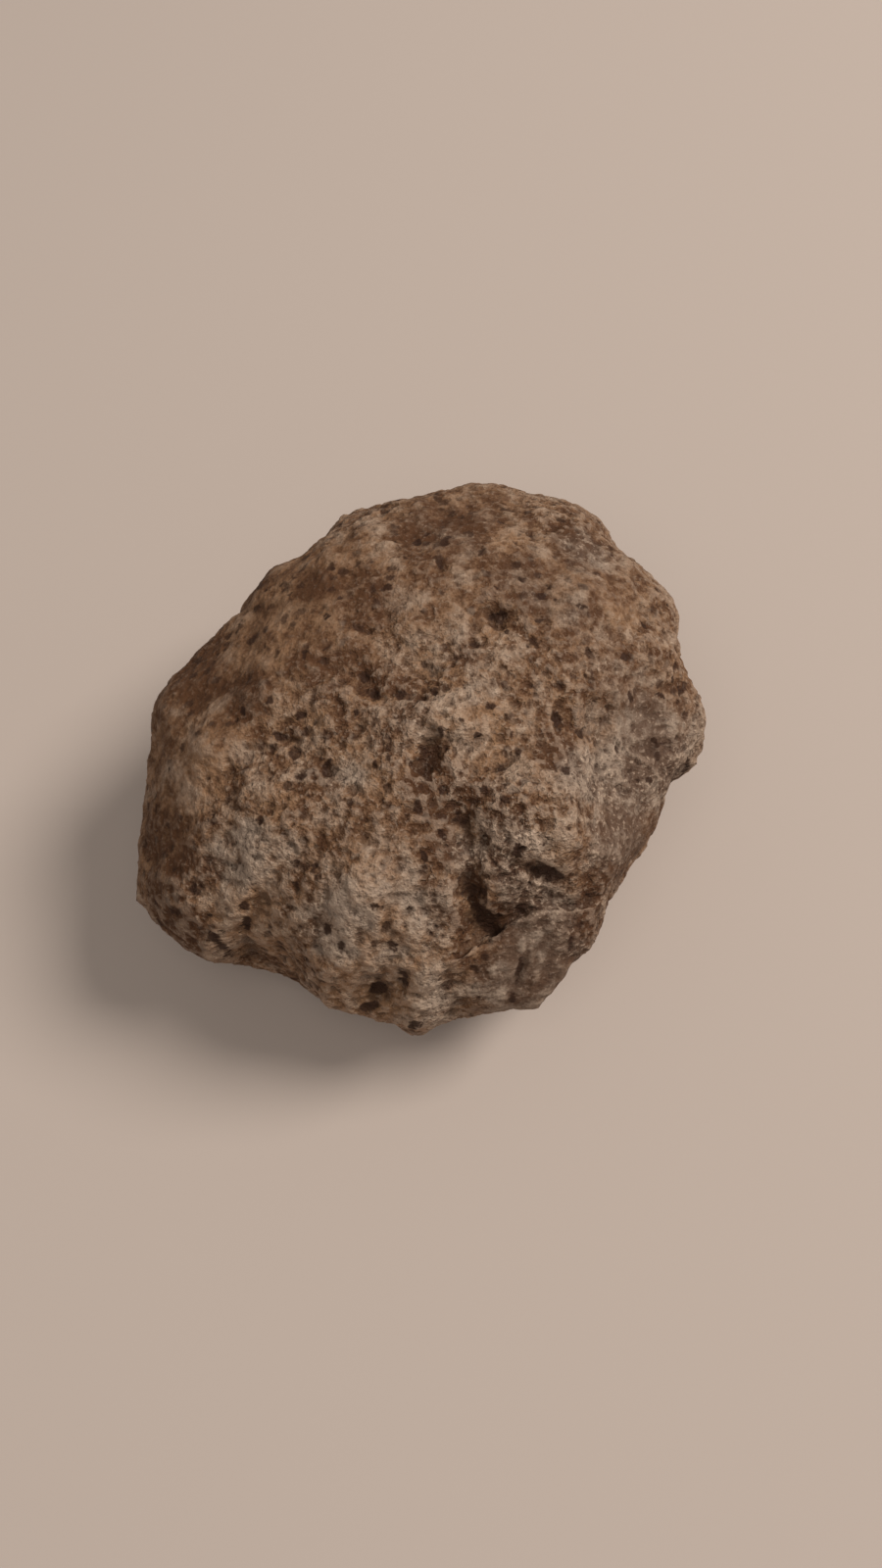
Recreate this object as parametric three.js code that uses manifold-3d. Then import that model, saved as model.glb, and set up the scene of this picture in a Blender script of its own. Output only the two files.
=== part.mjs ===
// A martian meteorite: one loose stone, about 50 mm across and 28 mm high, with a broad lumpy face on
// top, a broken face on its right, a shelf along its lower front edge and a flat underside to rest on.
//
// Millimetres, +Z up, +X to the stone's right, +Y to its back. The origin is on the resting face, under
// the middle of the stone. The form is worked out around the stone's heart, a point inside it, and is
// then set down. Places on the broad face are [across, up] in millimetres from the heart: "across" runs
// to the right, and "up" runs up the face, which leans towards the front.

import * as THREE from "three";
import { mergeVertices } from "three/addons/utils/BufferGeometryUtils.js";
import Module from "manifold-3d";

// ---------------------------------------------------------------- driving dimensions

const FACE_LEAN = 10; // degrees that the broad face leans towards the front
const HEART_HEIGHT = 13.5; // from the resting face up to the heart
const CROWN = 14.6; // from the heart out to the middle of the broad face
const KEEL = 14.1; // from the heart to the lowest point, before the resting face takes it off
const CROWN_BOXINESS = 2.3; // 2 makes an ellipsoid, and more makes it squarer in section
const KEEL_BOXINESS = 2.9;
const MESH_DETAIL = 21; // the icosahedron's edges are cut into one more piece than this

// The edge of the stone, looking straight at the broad face: [bearing in degrees, radius].
// Bearings run anticlockwise from the right.
const EDGE = [
  [3, 24.7], [10, 24.3], [18, 23.8], [27, 26.7], [36, 27.2], [50, 26.6], [53, 25.5], [57, 25.0],
  [64, 24.4], [74, 23.9], [81, 22.4], [93, 21.2], [111, 20.7], [118, 18.9], [127, 18.3], [135, 19.3],
  [141, 19.1], [150, 18.9], [160, 21.4], [170, 23.0], [177, 23.1], [188, 24.4], [198, 25.1], [204, 26.0],
  [212, 28.5], [224, 28.2], [229, 27.6], [233, 24.8], [239, 23.8], [243, 23.5], [252, 25.0], [264, 25.5],
  [269, 26.3], [276, 25.4], [287, 25.2], [292, 25.8], [297, 24.8], [301, 23.8], [306, 23.5], [315, 21.9],
  [325, 21.5], [338, 21.6], [347, 22.4], [351, 24.9], [356, 25.7],
];
const EDGE_SPREAD = 0.5; // how far up and down the sides the edge's own corners reach
const EDGE_BLUR = [-32, -16, 0, 16, 32]; // beyond that the girth is the mean of the edge at these turns

// Broken faces that cut the round form: the bearing that each looks to, how many degrees it looks up,
// and its distance from the heart.
const BREAKS = [
  { bearing: 340, looksUp: 50, distance: 18.4 },
  { bearing: 184, looksUp: 34, distance: 21.8 },
  { bearing: 95, looksUp: 55, distance: 17.3 },
  { bearing: 150, looksUp: 50, distance: 17.2 },
  { bearing: 35, looksUp: 28, distance: 23.2 },
  { bearing: 75, looksUp: -36, distance: 20.8 },
  { bearing: 130, looksUp: -25, distance: 19.6 },
  { bearing: 178, looksUp: -29, distance: 22.4 },
  { bearing: 225, looksUp: -38, distance: 22.2 },
  { bearing: 290, looksUp: -33, distance: 21.8 },
  { bearing: 345, looksUp: -34, distance: 20.6 },
  { bearing: 301, looksUp: 42, distance: 20.2 },
];
const BREAK_ROUNDING = 1.0; // how softly a broken face meets the round form

// Rolling lumps all over the stone: the size of the lumps, and how high they stand.
const LUMPS = [
  { size: 13, height: 1.5 },
  { size: 6.5, height: 1.1 },
  { size: 3.2, height: 0.6 },
];

// Bowls sunk into the broad face, and knobs, which are bowls of negative depth. Each has its middle, its
// half length and half width, how far it is turned, its depth, and how steep it is, from 0 to 1.
const BOWLS = [
  { at: [0.8, -6.0], half: [1.8, 1.2], turn: 75, depth: 0.6, steep: 0.1 },
  { at: [3.9, -17.1], half: [3.2, 1.3], turn: -64, depth: 1.5, steep: 0.2 },
  { at: [-16.9, 0.9], half: [3.4, 1.8], turn: 25, depth: 0.7, steep: 0 },
  { at: [6.2, 5.9], half: [1.9, 1.2], turn: 0, depth: 0.5, steep: 0.1 },
  { at: [9.6, 5.8], half: [1.6, 1.0], turn: 10, depth: 0.35, steep: 0.1 },
  { at: [4.5, 3.1], half: [1.2, 0.8], turn: 0, depth: 0.4, steep: 0.2 },
  { at: [1.5, 10.2], half: [1.3, 1.1], turn: 70, depth: 0.4, steep: 0.1 },
  { at: [-7.2, -7.2], half: [1.2, 1.2], turn: 0, depth: 0.4, steep: 0.1 },
  { at: [-11.0, -4.6], half: [1.9, 1.1], turn: -40, depth: 0.5, steep: 0.1 },
  { at: [-3.6, -23.4], half: [2.5, 1.6], turn: 10, depth: 1.1, steep: 0.2 },
  { at: [-0.9, -22.4], half: [1.1, 0.9], turn: 0, depth: 0.6, steep: 0.3 },
  { at: [8.4, -14.4], half: [2.2, 0.7], turn: -14, depth: 0.6, steep: 0.2 },
  { at: [8.6, -10.6], half: [5.2, 4.4], turn: 0, depth: -1.6, steep: 0.5 },
  { at: [2.4, -3.2], half: [4.5, 2.4], turn: 10, depth: -1.2, steep: 0 },
  { at: [-12.0, -12.0], half: [6.0, 6.0], turn: 0, depth: -1.0, steep: 0 },
  { at: [-4.5, -16.5], half: [4.5, 4.2], turn: 0, depth: -1.2, steep: 0 },
  { at: [-18.0, -5.2], half: [3.6, 3.4], turn: 0, depth: -0.8, steep: 0 },
  { at: [13.5, 8.0], half: [3.4, 3.0], turn: 0, depth: -0.9, steep: 0 },
];

// Grooves and valleys on the broad face: points of [across, up, half width, depth] along each.
const GROOVES = [
  [[0.6, -7.2, 1.6, 0.4], [1.8, -8.9, 2.1, 1.0], [3.0, -11.0, 2.3, 1.3], [3.3, -12.8, 2.1, 1.3],
    [3.4, -14.6, 1.8, 1.1], [4.2, -17.0, 1.6, 0.6]],
  [[-6.8, 1.4, 1.2, 0.3], [-5.1, 0.5, 1.5, 0.6], [-4.0, -1.4, 1.2, 0.4]],
  [[10.6, 0.4, 1.0, 0.2], [11.1, -1.9, 1.4, 0.45], [11.6, -4.2, 1.1, 0.3], [12.0, -7.0, 0.8, 0.1]],
  [[7.8, -20.2, 0.6, 0.3], [7.9, -21.8, 0.8, 0.8], [7.6, -22.9, 0.9, 0.9], [7.1, -24.4, 0.9, 0.7]],
  [[16.6, -4.4, 0.8, 0.2], [18.6, -4.1, 1.0, 0.5], [21.4, -3.6, 0.8, 0.3]],
];

// Ledges on the broad face. On the right-hand side of the line, as it runs, the ground drops over
// "riser" millimetres, and comes back to its own height over "reach" millimetres.
// The line's points are [across, up, drop].
const LEDGES = [
  { riser: 0.6, reach: 3.4, line: [[16.5, -15.4, 0], [14.4, -16.2, 0.6], [11.4, -16.5, 1.0],
    [9.8, -16.9, 1.2], [8.4, -17.9, 1.3], [5.8, -19.2, 1.5], [4.2, -20.0, 1.3], [2.3, -21.6, 0.6],
    [0.9, -23.0, 0]] },
  { riser: 1.4, reach: 9.0, line: [[-10.5, -20.6, 0], [-7.0, -21.4, 1.2], [-2.0, -22.0, 1.6],
    [1.2, -22.4, 1.2], [3.6, -20.6, 0.6], [5.8, -19.2, 0]] },
  { riser: 2.2, reach: 10.0, line: [[13.2, -12.5, 0], [12.6, -8.0, 1.0], [11.8, -4.0, 1.5],
    [12.6, -1.0, 1.4], [15.0, 0.2, 1.1], [18.0, 0.4, 0.7], [21.0, 1.0, 0]] },
];
const LINE_WANDER = { size: 2.6, reach: 0.5 }; // how ragged every edge and groove runs
const FACE_START = 0.05; // the broad face begins where its outward share passes this,
const FACE_FULL = 0.3; // and has its full relief from here on

// ---------------------------------------------------------------- small helpers

const radians = THREE.MathUtils.degToRad;
const { clamp, lerp, smoothstep } = THREE.MathUtils;

const lean = radians(FACE_LEAN);
const ACROSS = new THREE.Vector3(1, 0, 0);
const UP_FACE = new THREE.Vector3(0, Math.cos(lean), Math.sin(lean));
const OUTWARD = new THREE.Vector3(0, -Math.sin(lean), Math.cos(lean));

/** A whole-number mix of three grid coordinates, as a number from 0 to 1. */
function scatter(i, j, k) {
  let h = Math.imul(i, 374761393) ^ Math.imul(j, 668265263) ^ Math.imul(k, 1442695041);
  h = Math.imul(h ^ (h >>> 13), 1274126177);
  return ((h ^ (h >>> 16)) >>> 0) / 4294967296;
}

/** Smooth noise from -1 to 1, one swell to each unit of length. */
function swell(x, y, z) {
  const [i, j, k] = [Math.floor(x), Math.floor(y), Math.floor(z)];
  const ease = (t) => t * t * t * (t * (t * 6 - 15) + 10);
  const [a, b, c] = [ease(x - i), ease(y - j), ease(z - k)];
  const edge = (dj, dk) => lerp(scatter(i, j + dj, k + dk), scatter(i + 1, j + dj, k + dk), a);
  const sheet = (dk) => lerp(edge(0, dk), edge(1, dk), b);
  return 2 * lerp(sheet(0), sheet(1), c) - 1;
}

/** Noise at a point for lumps of one size. The shift keeps sizes from lining up at the heart. */
function lumps(point, size, shift) {
  return swell(point.x / size + shift, point.y / size + shift, point.z / size + shift);
}

/** The lower of two values, with the corner between them rounded over "soft". */
function softLower(a, b, soft) {
  const h = clamp(0.5 + (0.5 * (b - a)) / soft, 0, 1);
  return lerp(b, a, h) - soft * h * (1 - h);
}

// ---------------------------------------------------------------- the round form

/** The radius of the stone's edge at a bearing in degrees. */
function edgeRadius(bearing) {
  const turn = (bearing + 360) % 360;
  const next = EDGE.findIndex(([b]) => b > turn);
  const [b0, r0] = EDGE.at(next - 1 < 0 ? -1 : next - 1);
  const [b1, r1] = EDGE.at(next < 0 ? 0 : next);
  const span = (b1 - b0 + 360) % 360;
  return lerp(r0, r1, ((turn - b0 + 360) % 360) / span);
}

/** The stone's girth at a bearing, with the edge's own corners only near the edge. */
function girthAt(bearing, outwardShare) {
  const total = EDGE_BLUR.reduce((sum, turn) => sum + edgeRadius(bearing + turn), 0);
  return lerp(total / EDGE_BLUR.length, edgeRadius(bearing), Math.exp(-((outwardShare / EDGE_SPREAD) ** 2)));
}

/** The unit vector that looks to a bearing round the edge, and "looksUp" degrees out of the face. */
function facing(bearing, looksUp) {
  const [turn, rise] = [radians(bearing), radians(looksUp)];
  return new THREE.Vector3()
    .addScaledVector(ACROSS, Math.cos(rise) * Math.cos(turn))
    .addScaledVector(UP_FACE, Math.cos(rise) * Math.sin(turn))
    .addScaledVector(OUTWARD, Math.sin(rise));
}

const breaks = BREAKS.map((b) => ({ normal: facing(b.bearing, b.looksUp), distance: b.distance }));

/** How far the smooth stone reaches from its heart along a direction. */
function bodyRadius(direction) {
  const [a, u, o] = [direction.dot(ACROSS), direction.dot(UP_FACE), direction.dot(OUTWARD)];
  const girth = girthAt(THREE.MathUtils.radToDeg(Math.atan2(u, a)), o);
  const [height, boxiness] = o > 0 ? [CROWN, CROWN_BOXINESS] : [KEEL, KEEL_BOXINESS];
  const side = (Math.hypot(a, u) / girth) ** boxiness;
  const pole = (Math.abs(o) / height) ** boxiness;
  let radius = (side + pole) ** (-1 / boxiness);
  for (const { normal, distance } of breaks) {
    const towards = normal.dot(direction);
    if (towards > 0.05) radius = softLower(radius, distance / towards, BREAK_ROUNDING);
  }
  return radius;
}

// ---------------------------------------------------------------- relief on the broad face

/** The depth of a bowl at a place on the face. */
function bowlDepth(bowl, across, up) {
  const turn = radians(bowl.turn);
  const [da, du] = [across - bowl.at[0], up - bowl.at[1]];
  const along = (da * Math.cos(turn) + du * Math.sin(turn)) / bowl.half[0];
  const aside = (du * Math.cos(turn) - da * Math.sin(turn)) / bowl.half[1];
  return bowl.depth * (1 - smoothstep(Math.hypot(along, aside), bowl.steep * 0.8, 1.15));
}

/** The nearest place on a line of points: how far off it is, which side, and the values there. */
function nearestOnLine(line, across, up) {
  let best = { off: Infinity };
  for (let i = 0; i + 1 < line.length; i++) {
    const [p, q] = [line[i], line[i + 1]];
    const [da, du] = [q[0] - p[0], q[1] - p[1]];
    const t = clamp(((across - p[0]) * da + (up - p[1]) * du) / (da * da + du * du), 0, 1);
    const [oa, ou] = [across - p[0] - t * da, up - p[1] - t * du];
    const off = Math.hypot(oa, ou);
    if (off < best.off) {
      const rightHand = da * ou - du * oa < 0;
      best = { off, rightHand, values: p.slice(2).map((value, n) => lerp(value, q[n + 2], t)) };
    }
  }
  return best;
}

/** The depth of a groove at a place on the face. */
function grooveDepth(groove, across, up) {
  const { off, values: [halfWidth, depth] } = nearestOnLine(groove, across, up);
  return depth * (1 - smoothstep(off, 0, halfWidth));
}

/** How far a ledge lowers a place on the face. */
function ledgeDepth(ledge, across, up) {
  const { off, rightHand, values: [drop] } = nearestOnLine(ledge.line, across, up);
  if (!rightHand) return 0;
  return drop * smoothstep(off, 0, ledge.riser) * (1 - smoothstep(off, ledge.riser, ledge.reach));
}

/** How far the face's relief sinks a point of the body, in millimetres. */
function reliefDepth(point, direction) {
  const share = smoothstep(direction.dot(OUTWARD), FACE_START, FACE_FULL);
  if (share === 0) return 0;
  const across = point.dot(ACROSS) + LINE_WANDER.reach * lumps(point, LINE_WANDER.size, 31.7);
  const up = point.dot(UP_FACE) + LINE_WANDER.reach * lumps(point, LINE_WANDER.size, 57.3);
  let depth = 0;
  for (const bowl of BOWLS) depth += bowlDepth(bowl, across, up);
  for (const groove of GROOVES) depth += grooveDepth(groove, across, up);
  for (const ledge of LEDGES) depth += ledgeDepth(ledge, across, up);
  return share * depth;
}

/** The point of the stone's surface that lies along a direction from the heart. */
function surfacePoint(direction) {
  const point = direction.clone().multiplyScalar(bodyRadius(direction));
  const rise = LUMPS.reduce((sum, { size, height }, n) => sum + (height / 2) * lumps(point, size, 7.1 * n), 0);
  const depth = reliefDepth(point, direction);
  return point.addScaledVector(direction, rise).addScaledVector(OUTWARD, -depth);
}

// ---------------------------------------------------------------- the solid

const wasm = await Module();
wasm.setup();

/** A closed geometry as a solid that can be joined and cut. */
function toSolid(geometry) {
  const bare = geometry.clone();
  bare.deleteAttribute("normal");
  bare.deleteAttribute("uv");
  const merged = mergeVertices(bare);
  return new wasm.Manifold(new wasm.Mesh({
    numProp: 3,
    vertProperties: merged.attributes.position.array,
    triVerts: new Uint32Array(merged.index.array),
  }));
}

/** A solid as a geometry with flat faces. */
function toGeometry(solid) {
  const { vertProperties, triVerts } = solid.getMesh();
  const geometry = new THREE.BufferGeometry();
  geometry.setAttribute("position", new THREE.BufferAttribute(vertProperties, 3));
  geometry.setIndex(new THREE.BufferAttribute(triVerts, 1));
  return geometry;
}

/** The whole stone around its heart, with nothing cut from it. */
function wholeStone() {
  const geometry = new THREE.IcosahedronGeometry(1, MESH_DETAIL);
  const position = geometry.attributes.position;
  for (let i = 0; i < position.count; i++) {
    const direction = new THREE.Vector3().fromBufferAttribute(position, i).normalize();
    position.setXYZ(i, ...surfacePoint(direction).toArray());
  }
  return geometry;
}

/** All that lies under the resting face. */
function underTheRestingFace() {
  const width = 4 * CROWN + 4 * KEEL;
  return new THREE.BoxGeometry(width, width, KEEL).translate(0, 0, -HEART_HEIGHT - KEEL / 2);
}

const geometry = toGeometry(toSolid(wholeStone()).subtract(toSolid(underTheRestingFace())));
geometry.computeVertexNormals();
geometry.computeBoundingBox();

const crust = new THREE.MeshStandardMaterial({ color: 0x685040, roughness: 0.85, metalness: 0 });
crust.flatShading = true;

const stone = new THREE.Mesh(geometry, crust);
stone.name = "stone";
const middle = geometry.boundingBox.getCenter(new THREE.Vector3());
stone.position.set(-middle.x, -middle.y, HEART_HEIGHT);

const group = new THREE.Group();
group.add(stone);
export default group;
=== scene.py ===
"""A martian meteorite: the looks of one loose stone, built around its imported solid.

Blender's units are metres, with +Z up, +X to the stone's right and +Y to its back. The stone itself is
worked out in millimetres around its heart, a point inside it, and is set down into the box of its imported
solid. Places on the broad face are (across, up) in millimetres from the heart: "across" runs to the
right, and "up" runs up the face, which leans towards the front.
"""

import itertools
import logging
import math
from dataclasses import dataclass, field
from enum import Enum

import bmesh
import bpy
import numpy as np
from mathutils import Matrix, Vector


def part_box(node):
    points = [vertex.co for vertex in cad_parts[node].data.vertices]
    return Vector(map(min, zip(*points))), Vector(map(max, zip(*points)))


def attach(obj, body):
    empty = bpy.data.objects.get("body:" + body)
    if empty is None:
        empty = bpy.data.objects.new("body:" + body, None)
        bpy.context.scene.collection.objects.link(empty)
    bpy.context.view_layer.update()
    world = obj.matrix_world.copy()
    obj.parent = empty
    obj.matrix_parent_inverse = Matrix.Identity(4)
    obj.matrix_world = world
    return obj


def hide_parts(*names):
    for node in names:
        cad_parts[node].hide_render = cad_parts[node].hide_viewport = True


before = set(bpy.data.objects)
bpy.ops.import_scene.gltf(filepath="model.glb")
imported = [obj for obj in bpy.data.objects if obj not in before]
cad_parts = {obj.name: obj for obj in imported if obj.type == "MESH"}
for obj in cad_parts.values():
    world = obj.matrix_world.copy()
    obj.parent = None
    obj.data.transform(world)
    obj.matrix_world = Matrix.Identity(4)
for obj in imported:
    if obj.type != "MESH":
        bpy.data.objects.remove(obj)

log = logging.getLogger("meteorite")

MM = 0.001  # one millimetre, in metres

# Whole numbers that stir a grid place into a random number, the same in every run.
STIR_PLACE = (np.uint32(374761393), np.uint32(668265263), np.uint32(1442695041))
STIR_AGAIN = np.uint32(1274126177)
STIR_SHIFTS = (np.uint32(13), np.uint32(16))
CHANNEL_STEP = 7919  # how far apart two channels of random numbers lie
ALL_NUMBERS = 4294967296.0  # one more than the largest that the stirring gives

BOWL_FLOOR = 0.8  # a bowl is level out to this share of its "steep",
BOWL_BRIM = 1.15  # and has run out here, in half sizes from its middle
ZONE_CORE = 0.2  # a zone has its full strength out to this share of its radius,
ZONE_RIM = 1.3  # and none from here on
PIT_MARGIN = 0.1  # a strewn pit's middle keeps this share of its cell clear of the cell's sides
PIT_FLOOR = 0.35  # a strewn pit is level out to this share of its radius
CREASED_MEAN = 0.3  # the mean of creased noise, which is taken off it
EATEN_NOISE = (0.25, 0.6)  # the noise at the brim and at the floor of an eaten hollow
GRAZING = 0.05  # a broken face cuts nothing in the directions that share less than this with its own
TINY = 1e-6  # keeps a division off zero
SKEW = np.array([[0.8, 0.6, 0], [-0.48, 0.64, 0.6], [0.36, -0.48, 0.8]])  # keeps noise off the stone's axes

Pair = tuple[float, float]
Zone = tuple[float, float, float, float]  # across, up, radius and strength of a round zone of the face
Dent = tuple[float, float, float, float, float, float]  # across, up, half length and width, turn, depth
Colour = tuple[float, float, float]
Socket = bpy.types.NodeSocket

MIX_LOW, MIX_HIGH, MIX_COLOUR = 6, 7, 2  # the numbers of a colour mix's two colour inputs and its output
MOST_NOISE = (0.2, 0.8)  # nearly all of a material's soft noise lies between these


class Mask(Enum):
    """The painted masks that the stone's mesh carries for its finish. Half is neutral in most of them."""

    GREY = "grey"  # high where the varnish is gone and the grey stone shows
    TONE = "tone"  # high on worn, pale patches and where painted light brightens the low front, and low where the varnish is thick and dark and where painted shade darkens the top, the right rim and the hollows
    PITTED = "pitted"  # high where a pit or hollow is darkened, partly stained and partly painted shade, and never neutral
    FINE = "fine"  # low in small hollows, high on the tips of grains
    BROAD = "broad"  # low in grooves and hollows, high on lumps and ridges
    CRISP = "crisp"  # low where the skin is smooth, high where it is crumbly


class Grit(Enum):
    """The ways that one size of noise roughens the skin."""

    ROLLING = "rolling"  # soft swells
    CREASED = "creased"  # round lumps with creases between them
    EATEN = "eaten"  # uneven hollows with crisp rims


# ---------------------------------------------------------------- noise


def smoothstep(value: np.ndarray, low: float | np.ndarray, high: float | np.ndarray) -> np.ndarray:
    """Rises smoothly from 0 at low to 1 at high.

    Args:
        value: The numbers to look up.
        low: Where the rise starts.
        high: Where the rise ends.

    Returns:
        A number from 0 to 1 for each value.
    """
    share = np.clip((value - low) / (high - low), 0, 1)
    return share * share * (3 - 2 * share)


def scatter(cells: np.ndarray, channel: int = 0) -> np.ndarray:
    """Mixes whole-number grid places into repeatable random numbers.

    Args:
        cells: Grid places, one in each row.
        channel: Picks one of many independent numbers for the same place.

    Returns:
        A number from 0 to 1 for each place.
    """
    i, j, k = (cells[:, n].astype(np.int64).astype(np.uint32) for n in range(3))
    i = i + np.uint32(CHANNEL_STEP * channel)
    mix = (i * STIR_PLACE[0]) ^ (j * STIR_PLACE[1]) ^ (k * STIR_PLACE[2])
    mix = (mix ^ (mix >> STIR_SHIFTS[0])) * STIR_AGAIN
    return (mix ^ (mix >> STIR_SHIFTS[1])) / ALL_NUMBERS


def swell(places: np.ndarray) -> np.ndarray:
    """Smooth noise with one swell to each unit of length.

    Args:
        places: Places in space, one in each row.

    Returns:
        A number from -1 to 1 for each place.
    """
    corner = np.floor(places)
    share = places - corner
    ease = share**3 * (share * (share * 6 - 15) + 10)
    total = np.zeros(len(places))
    for step in itertools.product((0, 1), repeat=3):
        weight = np.prod(np.where(step, ease, 1 - ease), axis=1)
        total += weight * scatter(corner + step)
    return 2 * total - 1


def lumps(points: np.ndarray, size: float, shift: float) -> np.ndarray:
    """Noise for lumps of one size.

    Args:
        points: Points in millimetres, one in each row.
        size: The size of a lump in millimetres.
        shift: Keeps lumps of different sizes from lining up at the heart.

    Returns:
        A number from -1 to 1 for each point.
    """
    return swell(points / size + shift)


def soft_lower(a: np.ndarray, b: np.ndarray, soft: float) -> np.ndarray:
    """The lower of two values, with the corner between them rounded.

    Args:
        a: The first values.
        b: The second values.
        soft: How far the rounding reaches.

    Returns:
        The lower value at each place.
    """
    share = np.clip(0.5 + 0.5 * (b - a) / soft, 0, 1)
    return b + (a - b) * share - soft * share * (1 - share)


def zone_share(across: np.ndarray, up: np.ndarray, zones: tuple[Zone, ...]) -> np.ndarray:
    """Adds up the strengths of the round zones that each place on the face is in.

    Args:
        across: Places across the face.
        up: Places up the face.
        zones: The zones.

    Returns:
        The strength at each place.
    """
    return sum(
        strength * (1 - smoothstep(np.hypot(across - a, up - u) / radius, ZONE_CORE, ZONE_RIM))
        for a, u, radius, strength in zones
    )


# ---------------------------------------------------------------- the broad form


@dataclass(frozen=True)
class FaceFrame:
    """The directions that the stone is described in."""

    lean: float = 10.0  # degrees that the broad face leans towards the front

    @property
    def axes(self) -> np.ndarray:
        """Rows: across the face, up the face, and out of it."""
        cos, sin = math.cos(math.radians(self.lean)), math.sin(math.radians(self.lean))
        return np.array([[1, 0, 0], [0, cos, sin], [0, -sin, cos]])

    def split(self, points: np.ndarray) -> tuple[np.ndarray, np.ndarray, np.ndarray]:
        """Gives how far each point is across, up and out of the face."""
        across, up, outward = (points @ self.axes.T).T
        return across, up, outward

    def facing(self, bearing: float, looks_up: float) -> np.ndarray:
        """Finds the direction that looks to a place round the stone's edge.

        Args:
            bearing: Degrees round the edge, anticlockwise from the right.
            looks_up: Degrees out of the face.

        Returns:
            A unit vector.
        """
        turn, rise = math.radians(bearing), math.radians(looks_up)
        shares = (math.cos(rise) * math.cos(turn), math.cos(rise) * math.sin(turn), math.sin(rise))
        return np.array(shares) @ self.axes


@dataclass(frozen=True)
class Break:
    """A broken face that cuts the round form."""

    bearing: float  # the way that it looks, in degrees round the edge
    looks_up: float  # and in degrees out of the broad face
    distance: float  # from the heart


@dataclass(frozen=True)
class Bowl:
    """A bowl sunk into the broad face, or a knob where the depth is negative."""

    at: Pair  # across and up
    half: Pair  # half its length and half its width
    turn: float  # degrees that its length is turned from "across"
    depth: float
    steep: float  # 0 for one round hollow, and more for a flatter floor with steeper sides

    def depth_at(self, across: np.ndarray, up: np.ndarray) -> np.ndarray:
        """Works out the bowl's depth.

        Args:
            across: Places across the face.
            up: Places up the face.

        Returns:
            The depth in millimetres at each place.
        """
        turn = math.radians(self.turn)
        da, du = across - self.at[0], up - self.at[1]
        along = (da * math.cos(turn) + du * math.sin(turn)) / self.half[0]
        aside = (du * math.cos(turn) - da * math.sin(turn)) / self.half[1]
        return self.depth * (1 - smoothstep(np.hypot(along, aside), self.steep * BOWL_FLOOR, BOWL_BRIM))


@dataclass(frozen=True)
class Line:
    """A line of points on the broad face, with values that change along it."""

    points: tuple[tuple[float, ...], ...]

    def nearest(self, across: np.ndarray, up: np.ndarray) -> tuple[np.ndarray, np.ndarray, np.ndarray]:
        """Finds the nearest place on the line.

        Args:
            across: Places across the face.
            up: Places up the face.

        Returns:
            How far off the line each place is, whether it is on the line's right-hand side, and the
            line's own values there, one row for each value.
        """
        off = np.full(len(across), np.inf)
        right_hand = np.zeros(len(across), bool)
        values = np.zeros((len(self.points[0]) - 2, len(across)))
        for start, end in itertools.pairwise(np.array(self.points, float)):
            da, du = end[:2] - start[:2]
            share = np.clip(((across - start[0]) * da + (up - start[1]) * du) / (da * da + du * du), 0, 1)
            oa, ou = across - start[0] - share * da, up - start[1] - share * du
            here = np.hypot(oa, ou)
            nearer = here < off
            off = np.where(nearer, here, off)
            right_hand = np.where(nearer, da * ou - du * oa < 0, right_hand)
            local = start[2:, None] + (end - start)[2:, None] * share
            values = np.where(nearer, local, values)
        return off, right_hand, values


@dataclass(frozen=True)
class Groove(Line):
    """A groove or valley. Its points are across, up, half width and depth."""

    def depth_at(self, across: np.ndarray, up: np.ndarray) -> np.ndarray:
        """Gives the groove's depth at each place on the face."""
        off, _, (half_width, depth) = self.nearest(across, up)
        return depth * (1 - smoothstep(off, 0, half_width))


@dataclass(frozen=True)
class Ledge(Line):
    """A ledge. Its points are across, up and drop, and its low side is on its right as it runs."""

    riser: float  # the drop is made over this width
    reach: float  # and the ground is back to its own height here

    def depth_at(self, across: np.ndarray, up: np.ndarray) -> np.ndarray:
        """Works out how far the ledge lowers the face.

        Args:
            across: Places across the face.
            up: Places up the face.

        Returns:
            The depth in millimetres at each place.
        """
        off, right_hand, (drop,) = self.nearest(across, up)
        fall = smoothstep(off, 0, self.riser) * (1 - smoothstep(off, self.riser, self.reach))
        return np.where(right_hand, drop * fall, 0)


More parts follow.
